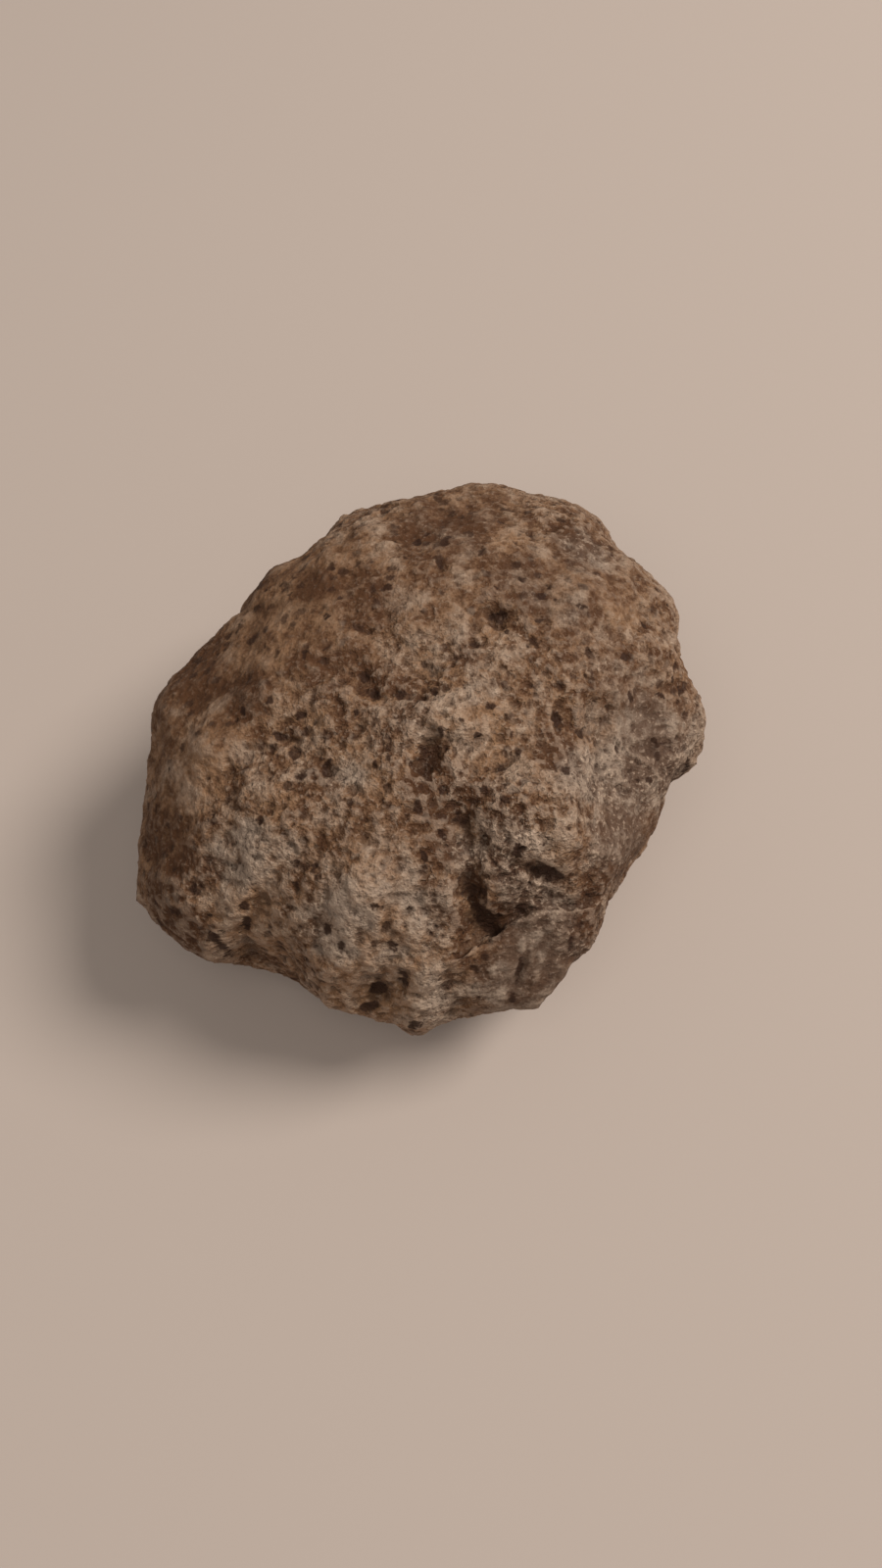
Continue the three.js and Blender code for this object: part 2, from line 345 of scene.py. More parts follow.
@dataclass(frozen=True)
class BroadForm:
    """The stone's broad form, very nearly as its solid has it. Sizes are in millimetres."""

    face: FaceFrame = FaceFrame()
    heart_height: float = 13.5  # from the resting face up to the heart
    crown: float = 14.6  # from the heart out to the middle of the broad face
    keel: float = 14.1  # from the heart to the lowest point, before the resting face takes it off
    crown_boxiness: float = 2.3  # 2 makes an ellipsoid, and more makes it squarer in section
    keel_boxiness: float = 2.9
    edge: tuple[Pair, ...] = (
        (3, 24.7), (10, 24.3), (18, 23.8), (27, 26.7), (36, 27.2), (50, 26.6), (53, 25.5), (57, 25.0),
        (64, 24.4), (74, 23.9), (81, 22.4), (93, 21.2), (111, 20.7), (118, 18.9), (127, 18.3), (135, 19.3),
        (141, 19.1), (150, 18.9), (160, 21.4), (170, 23.0), (177, 23.1), (188, 24.4), (198, 25.1),
        (204, 26.0), (212, 28.5), (224, 28.2), (229, 27.6), (233, 24.8), (239, 23.8), (243, 23.5),
        (252, 25.0), (264, 25.5), (269, 26.3), (276, 25.4), (287, 25.2), (292, 25.8), (297, 24.8),
        (301, 23.8), (306, 23.5), (315, 21.9), (325, 21.5), (338, 21.6), (347, 22.4), (351, 24.9),
        (356, 25.7),
    )  # bearing round the edge in degrees, and radius there
    edge_spread: float = 0.5  # how far up and down the sides the edge's own corners reach
    edge_blur: tuple[float, ...] = (-32, -16, 0, 16, 32)  # beyond that, the edge is its mean at these turns
    breaks: tuple[Break, ...] = (
        Break(340, 50, 18.4), Break(184, 34, 21.8), Break(95, 55, 17.3), Break(150, 50, 17.2),
        Break(35, 28, 23.2), Break(75, -36, 20.8), Break(130, -25, 19.6), Break(178, -29, 22.4),
        Break(225, -38, 22.2), Break(290, -33, 21.8), Break(345, -34, 20.6), Break(301, 42, 20.2),
    )
    break_rounding: float = 1.0
    lump_heights: tuple[Pair, ...] = ((13, 1.5), (6.5, 1.1), (3.2, 0.6))  # size and height of each
    lump_shift: float = 7.1  # keeps the sizes of lumps from lining up
    bowls: tuple[Bowl, ...] = (
        Bowl((0.8, -6.0), (2.0, 1.3), 75, 0.45, 0.25),
        Bowl((3.9, -17.1), (3.2, 1.3), -64, 1.5, 0.2),
        Bowl((-16.9, 0.9), (3.4, 1.8), 25, 0.7, 0),
        Bowl((6.2, 5.9), (1.9, 1.2), 0, 0.5, 0.1),
        Bowl((9.6, 5.8), (1.6, 1.0), 10, 0.35, 0.1),
        Bowl((4.5, 3.1), (1.2, 0.8), 0, 0.4, 0.2),
        Bowl((1.5, 10.2), (1.3, 1.1), 70, 0.4, 0.1),
        Bowl((-7.2, -7.2), (1.2, 1.2), 0, 0.4, 0.1),
        Bowl((-11.0, -4.6), (1.9, 1.1), -40, 0.5, 0.1),
        Bowl((-3.6, -23.4), (2.5, 1.6), 10, 1.1, 0.2),
        Bowl((-0.9, -22.4), (1.1, 0.9), 0, 0.6, 0.3),
        Bowl((8.4, -14.4), (2.2, 0.7), -14, 0.6, 0.2),
        Bowl((8.6, -10.6), (5.2, 4.4), 0, -1.6, 0.5),
        Bowl((2.4, -3.2), (4.5, 2.4), 10, -1.2, 0),
        Bowl((-12.0, -12.0), (6.0, 6.0), 0, -1.0, 0),
        Bowl((-4.5, -16.5), (4.5, 4.2), 0, -1.2, 0),
        Bowl((-18.0, -5.2), (3.6, 3.4), 0, -0.8, 0),
        Bowl((13.5, 8.0), (3.4, 3.0), 0, -0.9, 0),
    )
    grooves: tuple[Groove, ...] = (
        Groove(((0.6, -7.2, 1.6, 0.4), (1.8, -8.9, 2.1, 0.9), (3.0, -11.0, 2.3, 1.0),
                (3.3, -12.8, 2.1, 1.0), (3.4, -14.6, 1.8, 1.0), (4.2, -17.0, 1.6, 0.6))),
        Groove(((-6.8, 1.4, 1.2, 0.3), (-5.1, 0.5, 1.5, 0.6), (-4.0, -1.4, 1.2, 0.4))),
        Groove(((10.6, 0.4, 1.0, 0.2), (11.1, -1.9, 1.4, 0.45), (11.6, -4.2, 1.1, 0.3),
                (12.0, -7.0, 0.8, 0.1))),
        Groove(((7.8, -20.2, 0.6, 0.3), (7.9, -21.8, 0.8, 0.8), (7.6, -22.9, 0.9, 0.9),
                (7.1, -24.4, 0.9, 0.7))),
        Groove(((16.6, -4.4, 0.8, 0.2), (18.6, -4.1, 1.0, 0.5), (21.4, -3.6, 0.8, 0.3))),
    )
    ledges: tuple[Ledge, ...] = (
        Ledge(((16.5, -15.4, 0), (14.4, -16.2, 0.6), (11.4, -16.5, 1.0), (9.8, -16.9, 1.2), (8.4, -17.9, 1.3),
               (5.8, -19.2, 1.5), (4.2, -20.0, 1.3), (2.3, -21.6, 0.6), (0.9, -23.0, 0)),
              riser=0.6, reach=3.4),
        Ledge(((-10.5, -20.6, 0), (-7.0, -21.4, 1.2), (-2.0, -22.0, 1.6), (1.2, -22.4, 1.2),
               (3.6, -20.6, 0.6), (5.8, -19.2, 0)), riser=1.4, reach=9.0),
        Ledge(((13.2, -12.5, 0), (12.6, -8.0, 1.0), (11.8, -4.0, 1.5), (12.6, -1.0, 1.4),
               (15.0, 0.2, 1.1), (18.0, 0.4, 0.7), (21.0, 1.0, 0)), riser=2.2, reach=10.0),
    )
    wander_size: float = 2.6  # how ragged every edge and groove runs
    wander_reach: float = 0.5
    wander_shifts: Pair = (31.7, 57.3)
    face_start: float = 0.05  # the face's relief begins where the outward share passes this,
    face_full: float = 0.3  # and is full from here on

    def girth(self, bearing: np.ndarray, outward: np.ndarray) -> np.ndarray:
        """Finds the stone's girth, with the edge's own corners only near the edge.

        Args:
            bearing: Degrees round the edge.
            outward: The outward share of each direction.

        Returns:
            The girth at each bearing.
        """
        bearings, radii = np.array(self.edge).T
        own = np.interp(bearing, bearings, radii, period=360)
        mean = sum(np.interp(bearing + turn, bearings, radii, period=360) for turn in self.edge_blur)
        mean = mean / len(self.edge_blur)
        return mean + (own - mean) * np.exp(-((outward / self.edge_spread) ** 2))

    def body_radius(self, directions: np.ndarray) -> np.ndarray:
        """Finds how far the smooth stone reaches from its heart.

        Args:
            directions: Unit vectors, one in each row.

        Returns:
            The radius along each direction.
        """
        across, up, outward = self.face.split(directions)
        girth = self.girth(np.degrees(np.arctan2(up, across)), outward)
        height = np.where(outward > 0, self.crown, self.keel)
        boxiness = np.where(outward > 0, self.crown_boxiness, self.keel_boxiness)
        side = (np.hypot(across, up) / girth) ** boxiness
        pole = (np.abs(outward) / height) ** boxiness
        radius = (side + pole) ** (-1 / boxiness)
        for cut in self.breaks:
            towards = directions @ self.face.facing(cut.bearing, cut.looks_up)
            flat = cut.distance / np.maximum(towards, GRAZING)
            radius = np.where(towards > GRAZING, soft_lower(radius, flat, self.break_rounding), radius)
        return radius

    def face_places(self, points: np.ndarray) -> tuple[np.ndarray, np.ndarray]:
        """Finds each point's place on the face, wandering a little so that lines run ragged.

        Args:
            points: Points of the smooth body.

        Returns:
            How far each point counts as being across and up.
        """
        across, up, _ = self.face.split(points)
        across = across + self.wander_reach * lumps(points, self.wander_size, self.wander_shifts[0])
        up = up + self.wander_reach * lumps(points, self.wander_size, self.wander_shifts[1])
        return across, up

    def relief_depth(self, points: np.ndarray, directions: np.ndarray) -> np.ndarray:
        """Works out how far the face's relief sinks the body.

        Args:
            points: Points of the smooth body.
            directions: The directions that they lie in.

        Returns:
            The depth at each point.
        """
        outward = self.face.split(directions)[2]
        across, up = self.face_places(points)
        reliefs = self.bowls + self.grooves + self.ledges
        depth = sum(relief.depth_at(across, up) for relief in reliefs)
        return depth * smoothstep(outward, self.face_start, self.face_full)

    def surface(self, directions: np.ndarray) -> np.ndarray:
        """Finds the points of the stone's broad surface.

        Args:
            directions: Unit vectors from the heart, one in each row.

        Returns:
            The point that lies along each.
        """
        points = directions * self.body_radius(directions)[:, None]
        rise = sum(
            height / 2 * lumps(points, size, self.lump_shift * n)
            for n, (size, height) in enumerate(self.lump_heights)
        )
        depth = self.relief_depth(points, directions)
        points = points + rise[:, None] * directions - depth[:, None] * self.face.axes[2]
        return self.stand(points)

    def stand(self, points: np.ndarray) -> np.ndarray:
        """Draws every point that is under the resting face in towards the heart, up to that face."""
        shrink = np.minimum(1, self.heart_height / np.maximum(-points[:, 2], TINY))
        return points * shrink[:, None]


# ---------------------------------------------------------------- the skin


@dataclass(frozen=True)
class Roughness:
    """One size of roughness."""

    grit: Grit
    size: float  # of one lump or hollow
    height: float  # from its lowest to its highest

    def rise_at(self, points: np.ndarray, shift: float) -> np.ndarray:
        """Works out how the roughness lifts the skin.

        Args:
            points: Points of the skin, one in each row.
            shift: Keeps sizes from lining up with each other.

        Returns:
            The rise at each point.
        """
        noise = lumps(points, self.size, shift)
        if self.grit is Grit.CREASED:
            return self.height * (np.abs(noise) - CREASED_MEAN)
        if self.grit is Grit.EATEN:
            return -self.height * smoothstep(noise, *EATEN_NOISE)
        return self.height / 2 * noise


@dataclass(frozen=True)
class Streaks:
    """Fine ridges that run one way across a round zone of the face."""

    zone: Zone  # its strength is the height of the ridges in millimetres
    bearing: float  # degrees from "across"
    length: float
    width: float

    def rise_at(self, places: tuple[np.ndarray, np.ndarray, np.ndarray], shift: float) -> np.ndarray:
        """Works out how the ridges lift the skin.

        Args:
            places: How far each point is across, up and out of the face.
            shift: Keeps sets of ridges from lining up with each other.

        Returns:
            The rise at each point.
        """
        across, up, outward = places
        turn = math.radians(self.bearing)
        along = across * math.cos(turn) + up * math.sin(turn)
        aside = up * math.cos(turn) - across * math.sin(turn)
        cells = np.stack([along / self.length, aside / self.width, outward / self.length], axis=1)
        return zone_share(across, up, (self.zone,)) / 2 * swell(cells + shift)


@dataclass(frozen=True)
class PitField:
    """Small pits strewn all over the skin, at most one to each cell of a cubic grid."""

    cell: float  # millimetres between the places where a pit may be
    share: float  # the share of those places that have one
    radius: Pair  # smallest and largest
    depth: float  # as a share of the radius
    channel: int  # the first of its five channels of random numbers

    def depth_at(self, points: np.ndarray) -> np.ndarray:
        """Works out the depth of the pits.

        Args:
            points: Points of the skin, one in each row.

        Returns:
            The depth at each point.
        """
        deepest = np.zeros(len(points))
        home = np.floor(points / self.cell)
        for step in itertools.product((-1, 0, 1), repeat=3):
            cells = home + step
            jitter = np.stack([scatter(cells, self.channel + n) for n in range(3)], axis=1)
            centre = (cells + PIT_MARGIN + (1 - 2 * PIT_MARGIN) * jitter) * self.cell
            size = scatter(cells, self.channel + 3)
            radius = self.radius[0] + (self.radius[1] - self.radius[0]) * size
            there = scatter(cells, self.channel + 4) < self.share
            off = np.linalg.norm(points - centre, axis=1) / radius
            here = np.where(there, self.depth * radius * (1 - smoothstep(off, PIT_FLOOR, 1.0)), 0)
            deepest = np.maximum(deepest, here)
        return deepest


@dataclass(frozen=True)
class Skin:
    """The fine relief of the stone's skin. Sizes are in millimetres."""

    roughness: tuple[Roughness, ...] = (
        Roughness(Grit.ROLLING, 2.4, 0.42),
        Roughness(Grit.ROLLING, 1.2, 0.28),
        Roughness(Grit.CREASED, 1.5, 0.12),
        Roughness(Grit.EATEN, 1.1, 0.14),
        Roughness(Grit.CREASED, 0.7, 0.13),
        Roughness(Grit.EATEN, 0.55, 0.12),
        Roughness(Grit.ROLLING, 0.4, 0.16),
    )
    ruggedness: tuple[Roughness, ...] = (
        Roughness(Grit.ROLLING, 2.1, 0.4),
        Roughness(Grit.CREASED, 1.3, 0.2),
        Roughness(Grit.ROLLING, 0.65, 0.2),
        Roughness(Grit.ROLLING, 0.45, 0.16),
    )  # added in the rugged zones
    size_shift: float = 3.3  # keeps the sizes of roughness from lining up,
    rugged_shift: float = 40.0  # and the rugged ones from lining up with the others
    rugged: tuple[Zone, ...] = (
        (0.6, -6.6, 3.2, 0.8), (1.6, -10.4, 3.2, 1.0), (3.8, -14.4, 3.6, 0.9), (7.6, -13.0, 3.4, 0.45),
        (-9.4, -5.4, 3.0, 0.6), (-4.6, -0.8, 2.8, 0.5), (10.6, -2.8, 2.2, 0.5), (4.4, 3.6, 2.6, 0.4),
        (-2.6, -22.6, 3.2, 0.8), (6.2, 5.6, 2.6, 0.4), (18.6, -3.8, 2.6, 0.4),
    )  # where the ruggedness is added, and how much of it
    streaks: tuple[Streaks, ...] = (
        Streaks((17.0, -1.5, 7.0, 0.15), 22, 2.2, 0.5),
        Streaks((13.5, 4.5, 6.0, 0.16), 35, 2.0, 0.6),
        Streaks((3.0, -4.0, 3.5, 0.25), 45, 1.3, 0.4),
        Streaks((0.0, -18.8, 5.0, 0.4), 93, 1.8, 0.5),
        Streaks((9.5, -13.5, 4.0, 0.25), 80, 1.8, 0.5),
        Streaks((-8.0, -22.3, 3.5, 0.3), 5, 2.6, 0.4),
    )
    streak_shift: float = 9.1  # keeps sets of streaks from lining up
    pit_fields: tuple[PitField, ...] = (
        PitField(2.4, 0.35, (0.25, 0.45), 0.8, 10),
        PitField(1.6, 0.8, (0.25, 0.45), 0.5, 20),
    )
    # Most of the rows of this list were made by a program, from listed spots.
    dents: tuple[Dent, ...] = (
        (-0.5, 13.2, 0.95, 0.5, 90, 0.55), (1.9, 13, 1, 0.6, 65, 0.6),
        (1.4, 10.3, 0.85, 0.4, 90, 0.45), (1.5, 9.7, 0.9, 0.75, 90, 0.2), (4.9, 11.4, 0.5, 0.3, 20, 0.2),
        (9.7, 7.3, 0.6, 0.5, 90, 0.5), (6.1, 5.7, 1, 0.55, 5, 0.5), (9.6, 5.3, 0.9, 0.35, 10, 0.25),
        (8.1, 8.9, 0.65, 0.35, -35, 0.2), (4.3, 3, 0.65, 0.35, 0, 0.3), (-2.9, 8, 0.75, 0.45, 0, 0.45),
        (12.7, 19.8, 0.55, 0.5, -20, 0.3), (-9.5, -2.6, 0.5, 0.45, 0, 0.45),
        (-10.9, 8.1, 0.4, 0.3, 90, 0.2), (-7.6, 5.9, 0.35, 0.3, 90, 0.2), (-7.6, 2.9, 0.3, 0.3, 0, 0.25),
        (-9.4, 2.6, 0.6, 0.4, 90, 0.25), (-4.5, 0.4, 0.65, 0.55, 45, 0.5),
        (-3.7, -1, 0.55, 0.5, 90, 0.45), (-1.5, -1.2, 0.75, 0.4, 0, 0.3), (1, -1.1, 0.45, 0.3, 90, 0.25),
        (-7.5, 10.6, 0.3, 0.3, 0, 0.2), (-4.1, 7.5, 0.65, 0.25, 45, 0.15), (-1.9, 6, 0.75, 0.35, 10, 0.2),
        (-12, -1.2, 0.45, 0.3, 90, 0.25), (-15.5, -1.8, 0.6, 0.45, 90, 0.2),
        (-14.3, -1.8, 0.5, 0.3, 90, 0.25), (-12.3, -2.1, 0.5, 0.5, 0, 0.25),
        (-11.1, -4, 0.8, 0.4, -25, 0.4), (-9.9, -5.5, 0.75, 0.6, 90, 0.4),
        (-7.3, -6.9, 0.95, 0.4, 70, 0.3), (-9.3, -7.6, 0.65, 0.35, 15, 0.3),
        (-8.6, -9.2, 0.3, 0.3, 0, 0.2), (-10, -10.9, 0.75, 0.4, -20, 0.2),
        (-12.4, -10.9, 0.3, 0.3, 0, 0.2), (-20.4, -14.1, 0.8, 0.75, 90, 0.3),
        (-18.4, -15.5, 0.4, 0.4, 0, 0.3), (-20.2, -17, 0.95, 0.65, -25, 0.4),
        (-16.6, -19.5, 1.5, 0.55, -40, 0.5), (-14, -17, 0.35, 0.3, 0, 0.3),
        (-14, -18.2, 0.5, 0.35, 90, 0.35), (-12.1, -18.8, 0.75, 0.45, 90, 0.25),
        (-17.1, -17.6, 0.4, 0.3, 90, 0.2), (-9.7, -16.1, 0.75, 0.3, 90, 0.2),
        (-9.6, -14.3, 0.5, 0.5, 0, 0.35), (-8.2, -14.7, 0.55, 0.3, 90, 0.25),
        (-7.1, -19, 0.4, 0.4, 0, 0.3), (-6.1, -20.3, 0.65, 0.5, 90, 0.35),
        (-3.5, -17.7, 0.35, 0.3, 0, 0.25), (-2.2, -20.4, 0.5, 0.4, 0, 0.25),
        (-3.4, -23, 0.95, 0.65, 15, 0.6), (-4.2, -24.5, 1.2, 0.65, 10, 0.6),
        (-1.4, -22.6, 0.9, 0.65, 90, 0.6), (-0.5, -25.9, 0.75, 0.4, 0, 0.3),
        (7.9, -21.7, 1.4, 0.35, 80, 0.5), (7.5, -23.7, 0.65, 0.4, 90, 0.3),
        (12, -19.7, 0.75, 0.35, -75, 0.3), (0.4, -9.1, 0.75, 0.55, 0, 0.25),
        (1.6, -8.8, 0.55, 0.5, 0, 0.35), (-0.2, -10.4, 0.95, 0.3, 90, 0.25),
        (4.9, -8.9, 0.5, 0.5, 0, 0.4), (6.4, -9.9, 0.75, 0.5, -10, 0.3), (3, -11, 0.9, 0.5, -50, 0.35),
        (1.7, -12.3, 0.6, 0.4, -75, 0.35), (7.3, -13.4, 0.6, 0.35, -80, 0.35),
        (4.7, -12.8, 1.2, 0.55, 90, 0.25), (9.7, -14.7, 2.6, 0.55, -12, 0.6),
        (4.4, -16.3, 2.1, 1.2, -65, 0.6), (5.0, -18.0, 1.9, 0.8, -50, 0.8), (5.9, -18.8, 0.9, 0.7, 0, 0.7),
        (8.3, -17.1, 1.4, 0.4, -5, 0.3), (0.2, -14, 0.75, 0.35, -70, 0.35),
        (0.8, -6.4, 2.0, 0.9, 75, 0.35), (1.9, -5.8, 0.5, 0.3, 0, 0.25), (1.5, -4.7, 0.5, 0.3, 90, 0.2),
        (5.4, -2.3, 0.4, 0.35, 0, 0.35), (-3.5, -7.1, 0.4, 0.3, 90, 0.25), (6.2, -7.2, 0.4, 0.4, 0, 0.25),
        (3.1, -3.8, 0.25, 0.25, 0, 0.2), (4.5, -4.7, 0.25, 0.25, 0, 0.2), (7.1, -4.6, 0.3, 0.25, 90, 0.2),
        (7.4, -5.8, 0.4, 0.3, 90, 0.25), (-4.9, -2.5, 0.55, 0.4, 90, 0.25),
        (-2.4, -6.7, 0.5, 0.3, 90, 0.2), (16.3, 2.9, 0.5, 0.5, 0, 0.35), (18.4, 6.3, 0.45, 0.35, 0, 0.35),
        (12.9, 6.5, 0.75, 0.3, -10, 0.2), (10.8, -2.9, 1.2, 0.3, -75, 0.3),
        (12.6, -3.7, 0.4, 0.4, 0, 0.3), (11.2, -7.2, 0.55, 0.5, 90, 0.35),
        (17.1, -0.1, 0.45, 0.35, 90, 0.25), (19.6, 0.7, 0.75, 0.3, 5, 0.3),
        (21.8, 1.6, 0.5, 0.3, 90, 0.3), (19.5, -3, 1.2, 0.3, 5, 0.3), (19.7, -4.1, 0.55, 0.55, 0, 0.3),
        (23.5, -0.4, 0.65, 0.5, 90, 0.25), (18.7, -6.2, 0.4, 0.3, 0, 0.25),
        (22.8, -4.1, 0.5, 0.4, 90, 0.3), (21, 2.2, 0.4, 0.3, 0, 0.25), (13.6, -15.8, 0.8, 0.75, 0, 0.35),
        (6.8, 4, 0.35, 0.25, 90, 0.2), (3.4, 16.3, 0.75, 0.4, -60, 0.2),
        (1.7, -10.9, 0.9, 0.45, 80, -0.3), (0.7, -12.2, 0.75, 0.4, 35, -0.3),
        (-0.7, -15.4, 0.8, 0.8, 0, -0.35), (1.5, -16.4, 0.75, 0.5, 90, -0.25),
        (3.3, -14.2, 0.75, 0.35, -55, -0.2), (6.7, -14.8, 0.9, 0.35, -80, -0.25),
        (9.5, -15.2, 0.4, 0.3, 0, -0.2), (10.4, -11.1, 0.75, 0.55, 90, -0.2),
        (4, -12.9, 0.75, 0.4, 90, -0.2), (8.5, -16.3, 0.65, 0.55, 0, -0.25),
        (0.3, -18, 1.3, 0.3, -85, -0.2), (2, -18.4, 1.2, 0.35, 90, -0.2), (0.1, 7.5, 0.3, 0.3, 0, -0.25),
        (13, 8.7, 1.2, 0.5, -85, -0.15), (10.9, 4.5, 0.65, 0.5, 60, -0.15),
        (-3.1, 7.9, 0.95, 0.5, -50, -0.2), (-2.1, -10.5, 1.1, 0.55, 5, -0.2),
        (4.2, -20.4, 0.5, 0.35, 90, -0.25), (9.4, -19.4, 0.3, 0.3, 0, -0.2),
        (8.4, -19.8, 0.55, 0.35, 90, -0.15), (9.6, -20.1, 0.55, 0.4, 90, -0.15),
        (11.1, -21.5, 0.45, 0.35, 90, -0.2), (-2.2, -22.7, 0.8, 0.3, -85, -0.25),
        (-10.2, -6.2, 0.25, 0.25, 0, -0.2), (7.2, -21.6, 0.65, 0.3, 75, -0.15),
        (12.7, -17.1, 0.8, 0.25, 5, -0.15), (6.1, -18, 0.4, 0.4, 0, 0.3),
        (7.9, -17.4, 0.75, 0.3, -10, 0.2), (9, -17.1, 0.65, 0.25, -15, 0.15),
        (12, -19.7, 0.75, 0.4, 90, 0.25), (14, -15.6, 0.75, 0.65, 90, 0.3),
        (-0.6, -26, 0.65, 0.3, 0, 0.25),
        (8.1, -19.9, 0.5, 0.4, 90, -0.6), (9.3, -19.2, 0.45, 0.4, 0, -0.5), (9.7, -20.6, 0.5, 0.45, 0, -0.6),
        (11.3, -21.4, 0.5, 0.4, 0, -0.6), (4.2, -20.8, 0.4, 0.35, 0, -0.6), (6.6, -23.4, 0.45, 0.35, 0, -0.5),
        (5.6, -21.8, 0.5, 0.4, 20, -0.5), (9.3, -22.0, 0.5, 0.4, 90, -0.5), (11.4, -18.8, 0.5, 0.4, 40, -0.5),
    )  # the hollows that stand out on the face, and its knobs, which have negative depth
    dent_share: float = 0.35  # how much of that depth is cut, while the darkening, staining and painted shade together, goes by the hollow's steepness
    dent_steep: float = 0.2  # the "steep" of the bowls that they are made as
    pit_stain_and_shade: float = 2.6  # how dark the strewn pits are painted, staining and painted shade together, for each millimetre of depth
    dent_brims: Pair = (0.35, 1.0)  # the share of its depth where a small and a large hollow are darkest
    pit_wander: Pair = (0.5, 0.2)  # size and reach of the noise that makes pits uneven
    pit_wander_shifts: Pair = (11.9, 5.3)  # its shift in the first direction, and the step to the next
    temper: tuple[Zone, ...] = (
        (-12.0, 9.0, 11.0, -0.55), (-19.0, -1.5, 7.0, -0.45), (-22.0, -11.0, 6.0, -0.35),
        (8.5, -22.0, 5.5, -0.5), (18.0, -11.0, 5.0, -0.3), (3.0, 17.0, 7.0, -0.35), (12.5, 9.0, 6.5, -0.35),
        (2.0, -5.0, 6.0, 0.1), (8.0, -11.5, 5.0, 0.25), (-3.0, -17.0, 6.0, -0.05), (18.0, -1.0, 5.0, -0.35),
        (2.5, 8.5, 6.0, -0.25),
    )  # where the skin is calmer or rougher than elsewhere
    calmest: float = 0.25  # the least share of the skin's relief that is left anywhere

    def hollows(
        self, points: np.ndarray, places: tuple[np.ndarray, np.ndarray, np.ndarray]
    ) -> tuple[np.ndarray, np.ndarray]:
        """Works out the strewn pits, and the hollows and knobs that have their own places.

        Args:
            points: Points of the broad form, one in each row.
            places: How far each point is across, up and out of the face.

        Returns:
            How deep the skin is cut at each point, and how dark it is, partly stained and partly painted
            shade. Knobs lower both.
        """
        across, up, outward = places
        depth = np.max([pits.depth_at(points) for pits in self.pit_fields], axis=0)
        stain_and_shade = depth * self.pit_stain_and_shade
        for at_across, at_up, length, width, turn, deepest in self.dents:
            bowl = Bowl((at_across, at_up), (length, width), turn, deepest, self.dent_steep)
            here = np.where(outward > 0, bowl.depth_at(across, up), 0)
            darkest = np.clip(length, *self.dent_brims)
            look = min(abs(deepest) / width, 1.0) * smoothstep(here / deepest, 0.0, darkest)
            join = np.maximum if deepest > 0 else np.add
            depth = join(depth, here * self.dent_share)
            stain_and_shade = join(stain_and_shade, math.copysign(1.0, deepest) * look)
        return depth, stain_and_shade

    def roughen(
        self, points: np.ndarray, normals: np.ndarray, face: FaceFrame
    ) -> tuple[np.ndarray, np.ndarray, np.ndarray]:
        """Gives the broad form its skin.

        Args:
            points: Points of the broad form.
            normals: The way out of the stone at each.
            face: The directions that the stone is described in.

        Returns:
            The points of the skin, and at each how dark its pits look and how rough it is.
        """
        turned = points @ (face.axes @ SKEW)
        rise = sum(grit.rise_at(turned, self.size_shift * n) for n, grit in enumerate(self.roughness))
        extra = sum(
            grit.rise_at(turned, self.rugged_shift + self.size_shift * n)
            for n, grit in enumerate(self.ruggedness)
        )
        size, reach = self.pit_wander
        first, step = self.pit_wander_shifts
        wander = np.stack([lumps(turned, size, first + step * n) for n in range(3)], axis=1) * reach
        pitted = points + wander
        places = face.split(pitted)
        across, up, outward = places
        on_face = outward > 0
        depth, stain_and_shade = self.hollows(pitted, places)
        ridges = sum(ridge.rise_at(places, self.streak_shift * n) for n, ridge in enumerate(self.streaks))
        rise = rise + np.where(on_face, ridges, 0)
        temper = 1 + np.where(on_face, zone_share(across, up, self.temper), 0)
        temper = np.maximum(temper, self.calmest)
        rugged = np.where(on_face, np.clip(zone_share(across, up, self.rugged), 0, 1), 0)
        rise = (rise - depth) * temper + extra * rugged
        return points + rise[:, None] * normals, stain_and_shade, temper


# ---------------------------------------------------------------- finishes


@dataclass(frozen=True)
class Span:
    """Two values that a number is spread from, and the two that it is spread to."""

    low: float
    high: float
    to_low: float = 0.0
    to_high: float = 1.0


@dataclass(frozen=True)
class Specks:
    """One kind of soft speck, strewn with at most one to each cell."""

    cell: float  # the size of a cell in millimetres
    reach: float  # the radius of a speck, as a share of its cell
    share: float  # the share of the cells that have one
    core: float = 0.4  # a speck has its full strength out to this share of its radius
    strength: float = 0.85


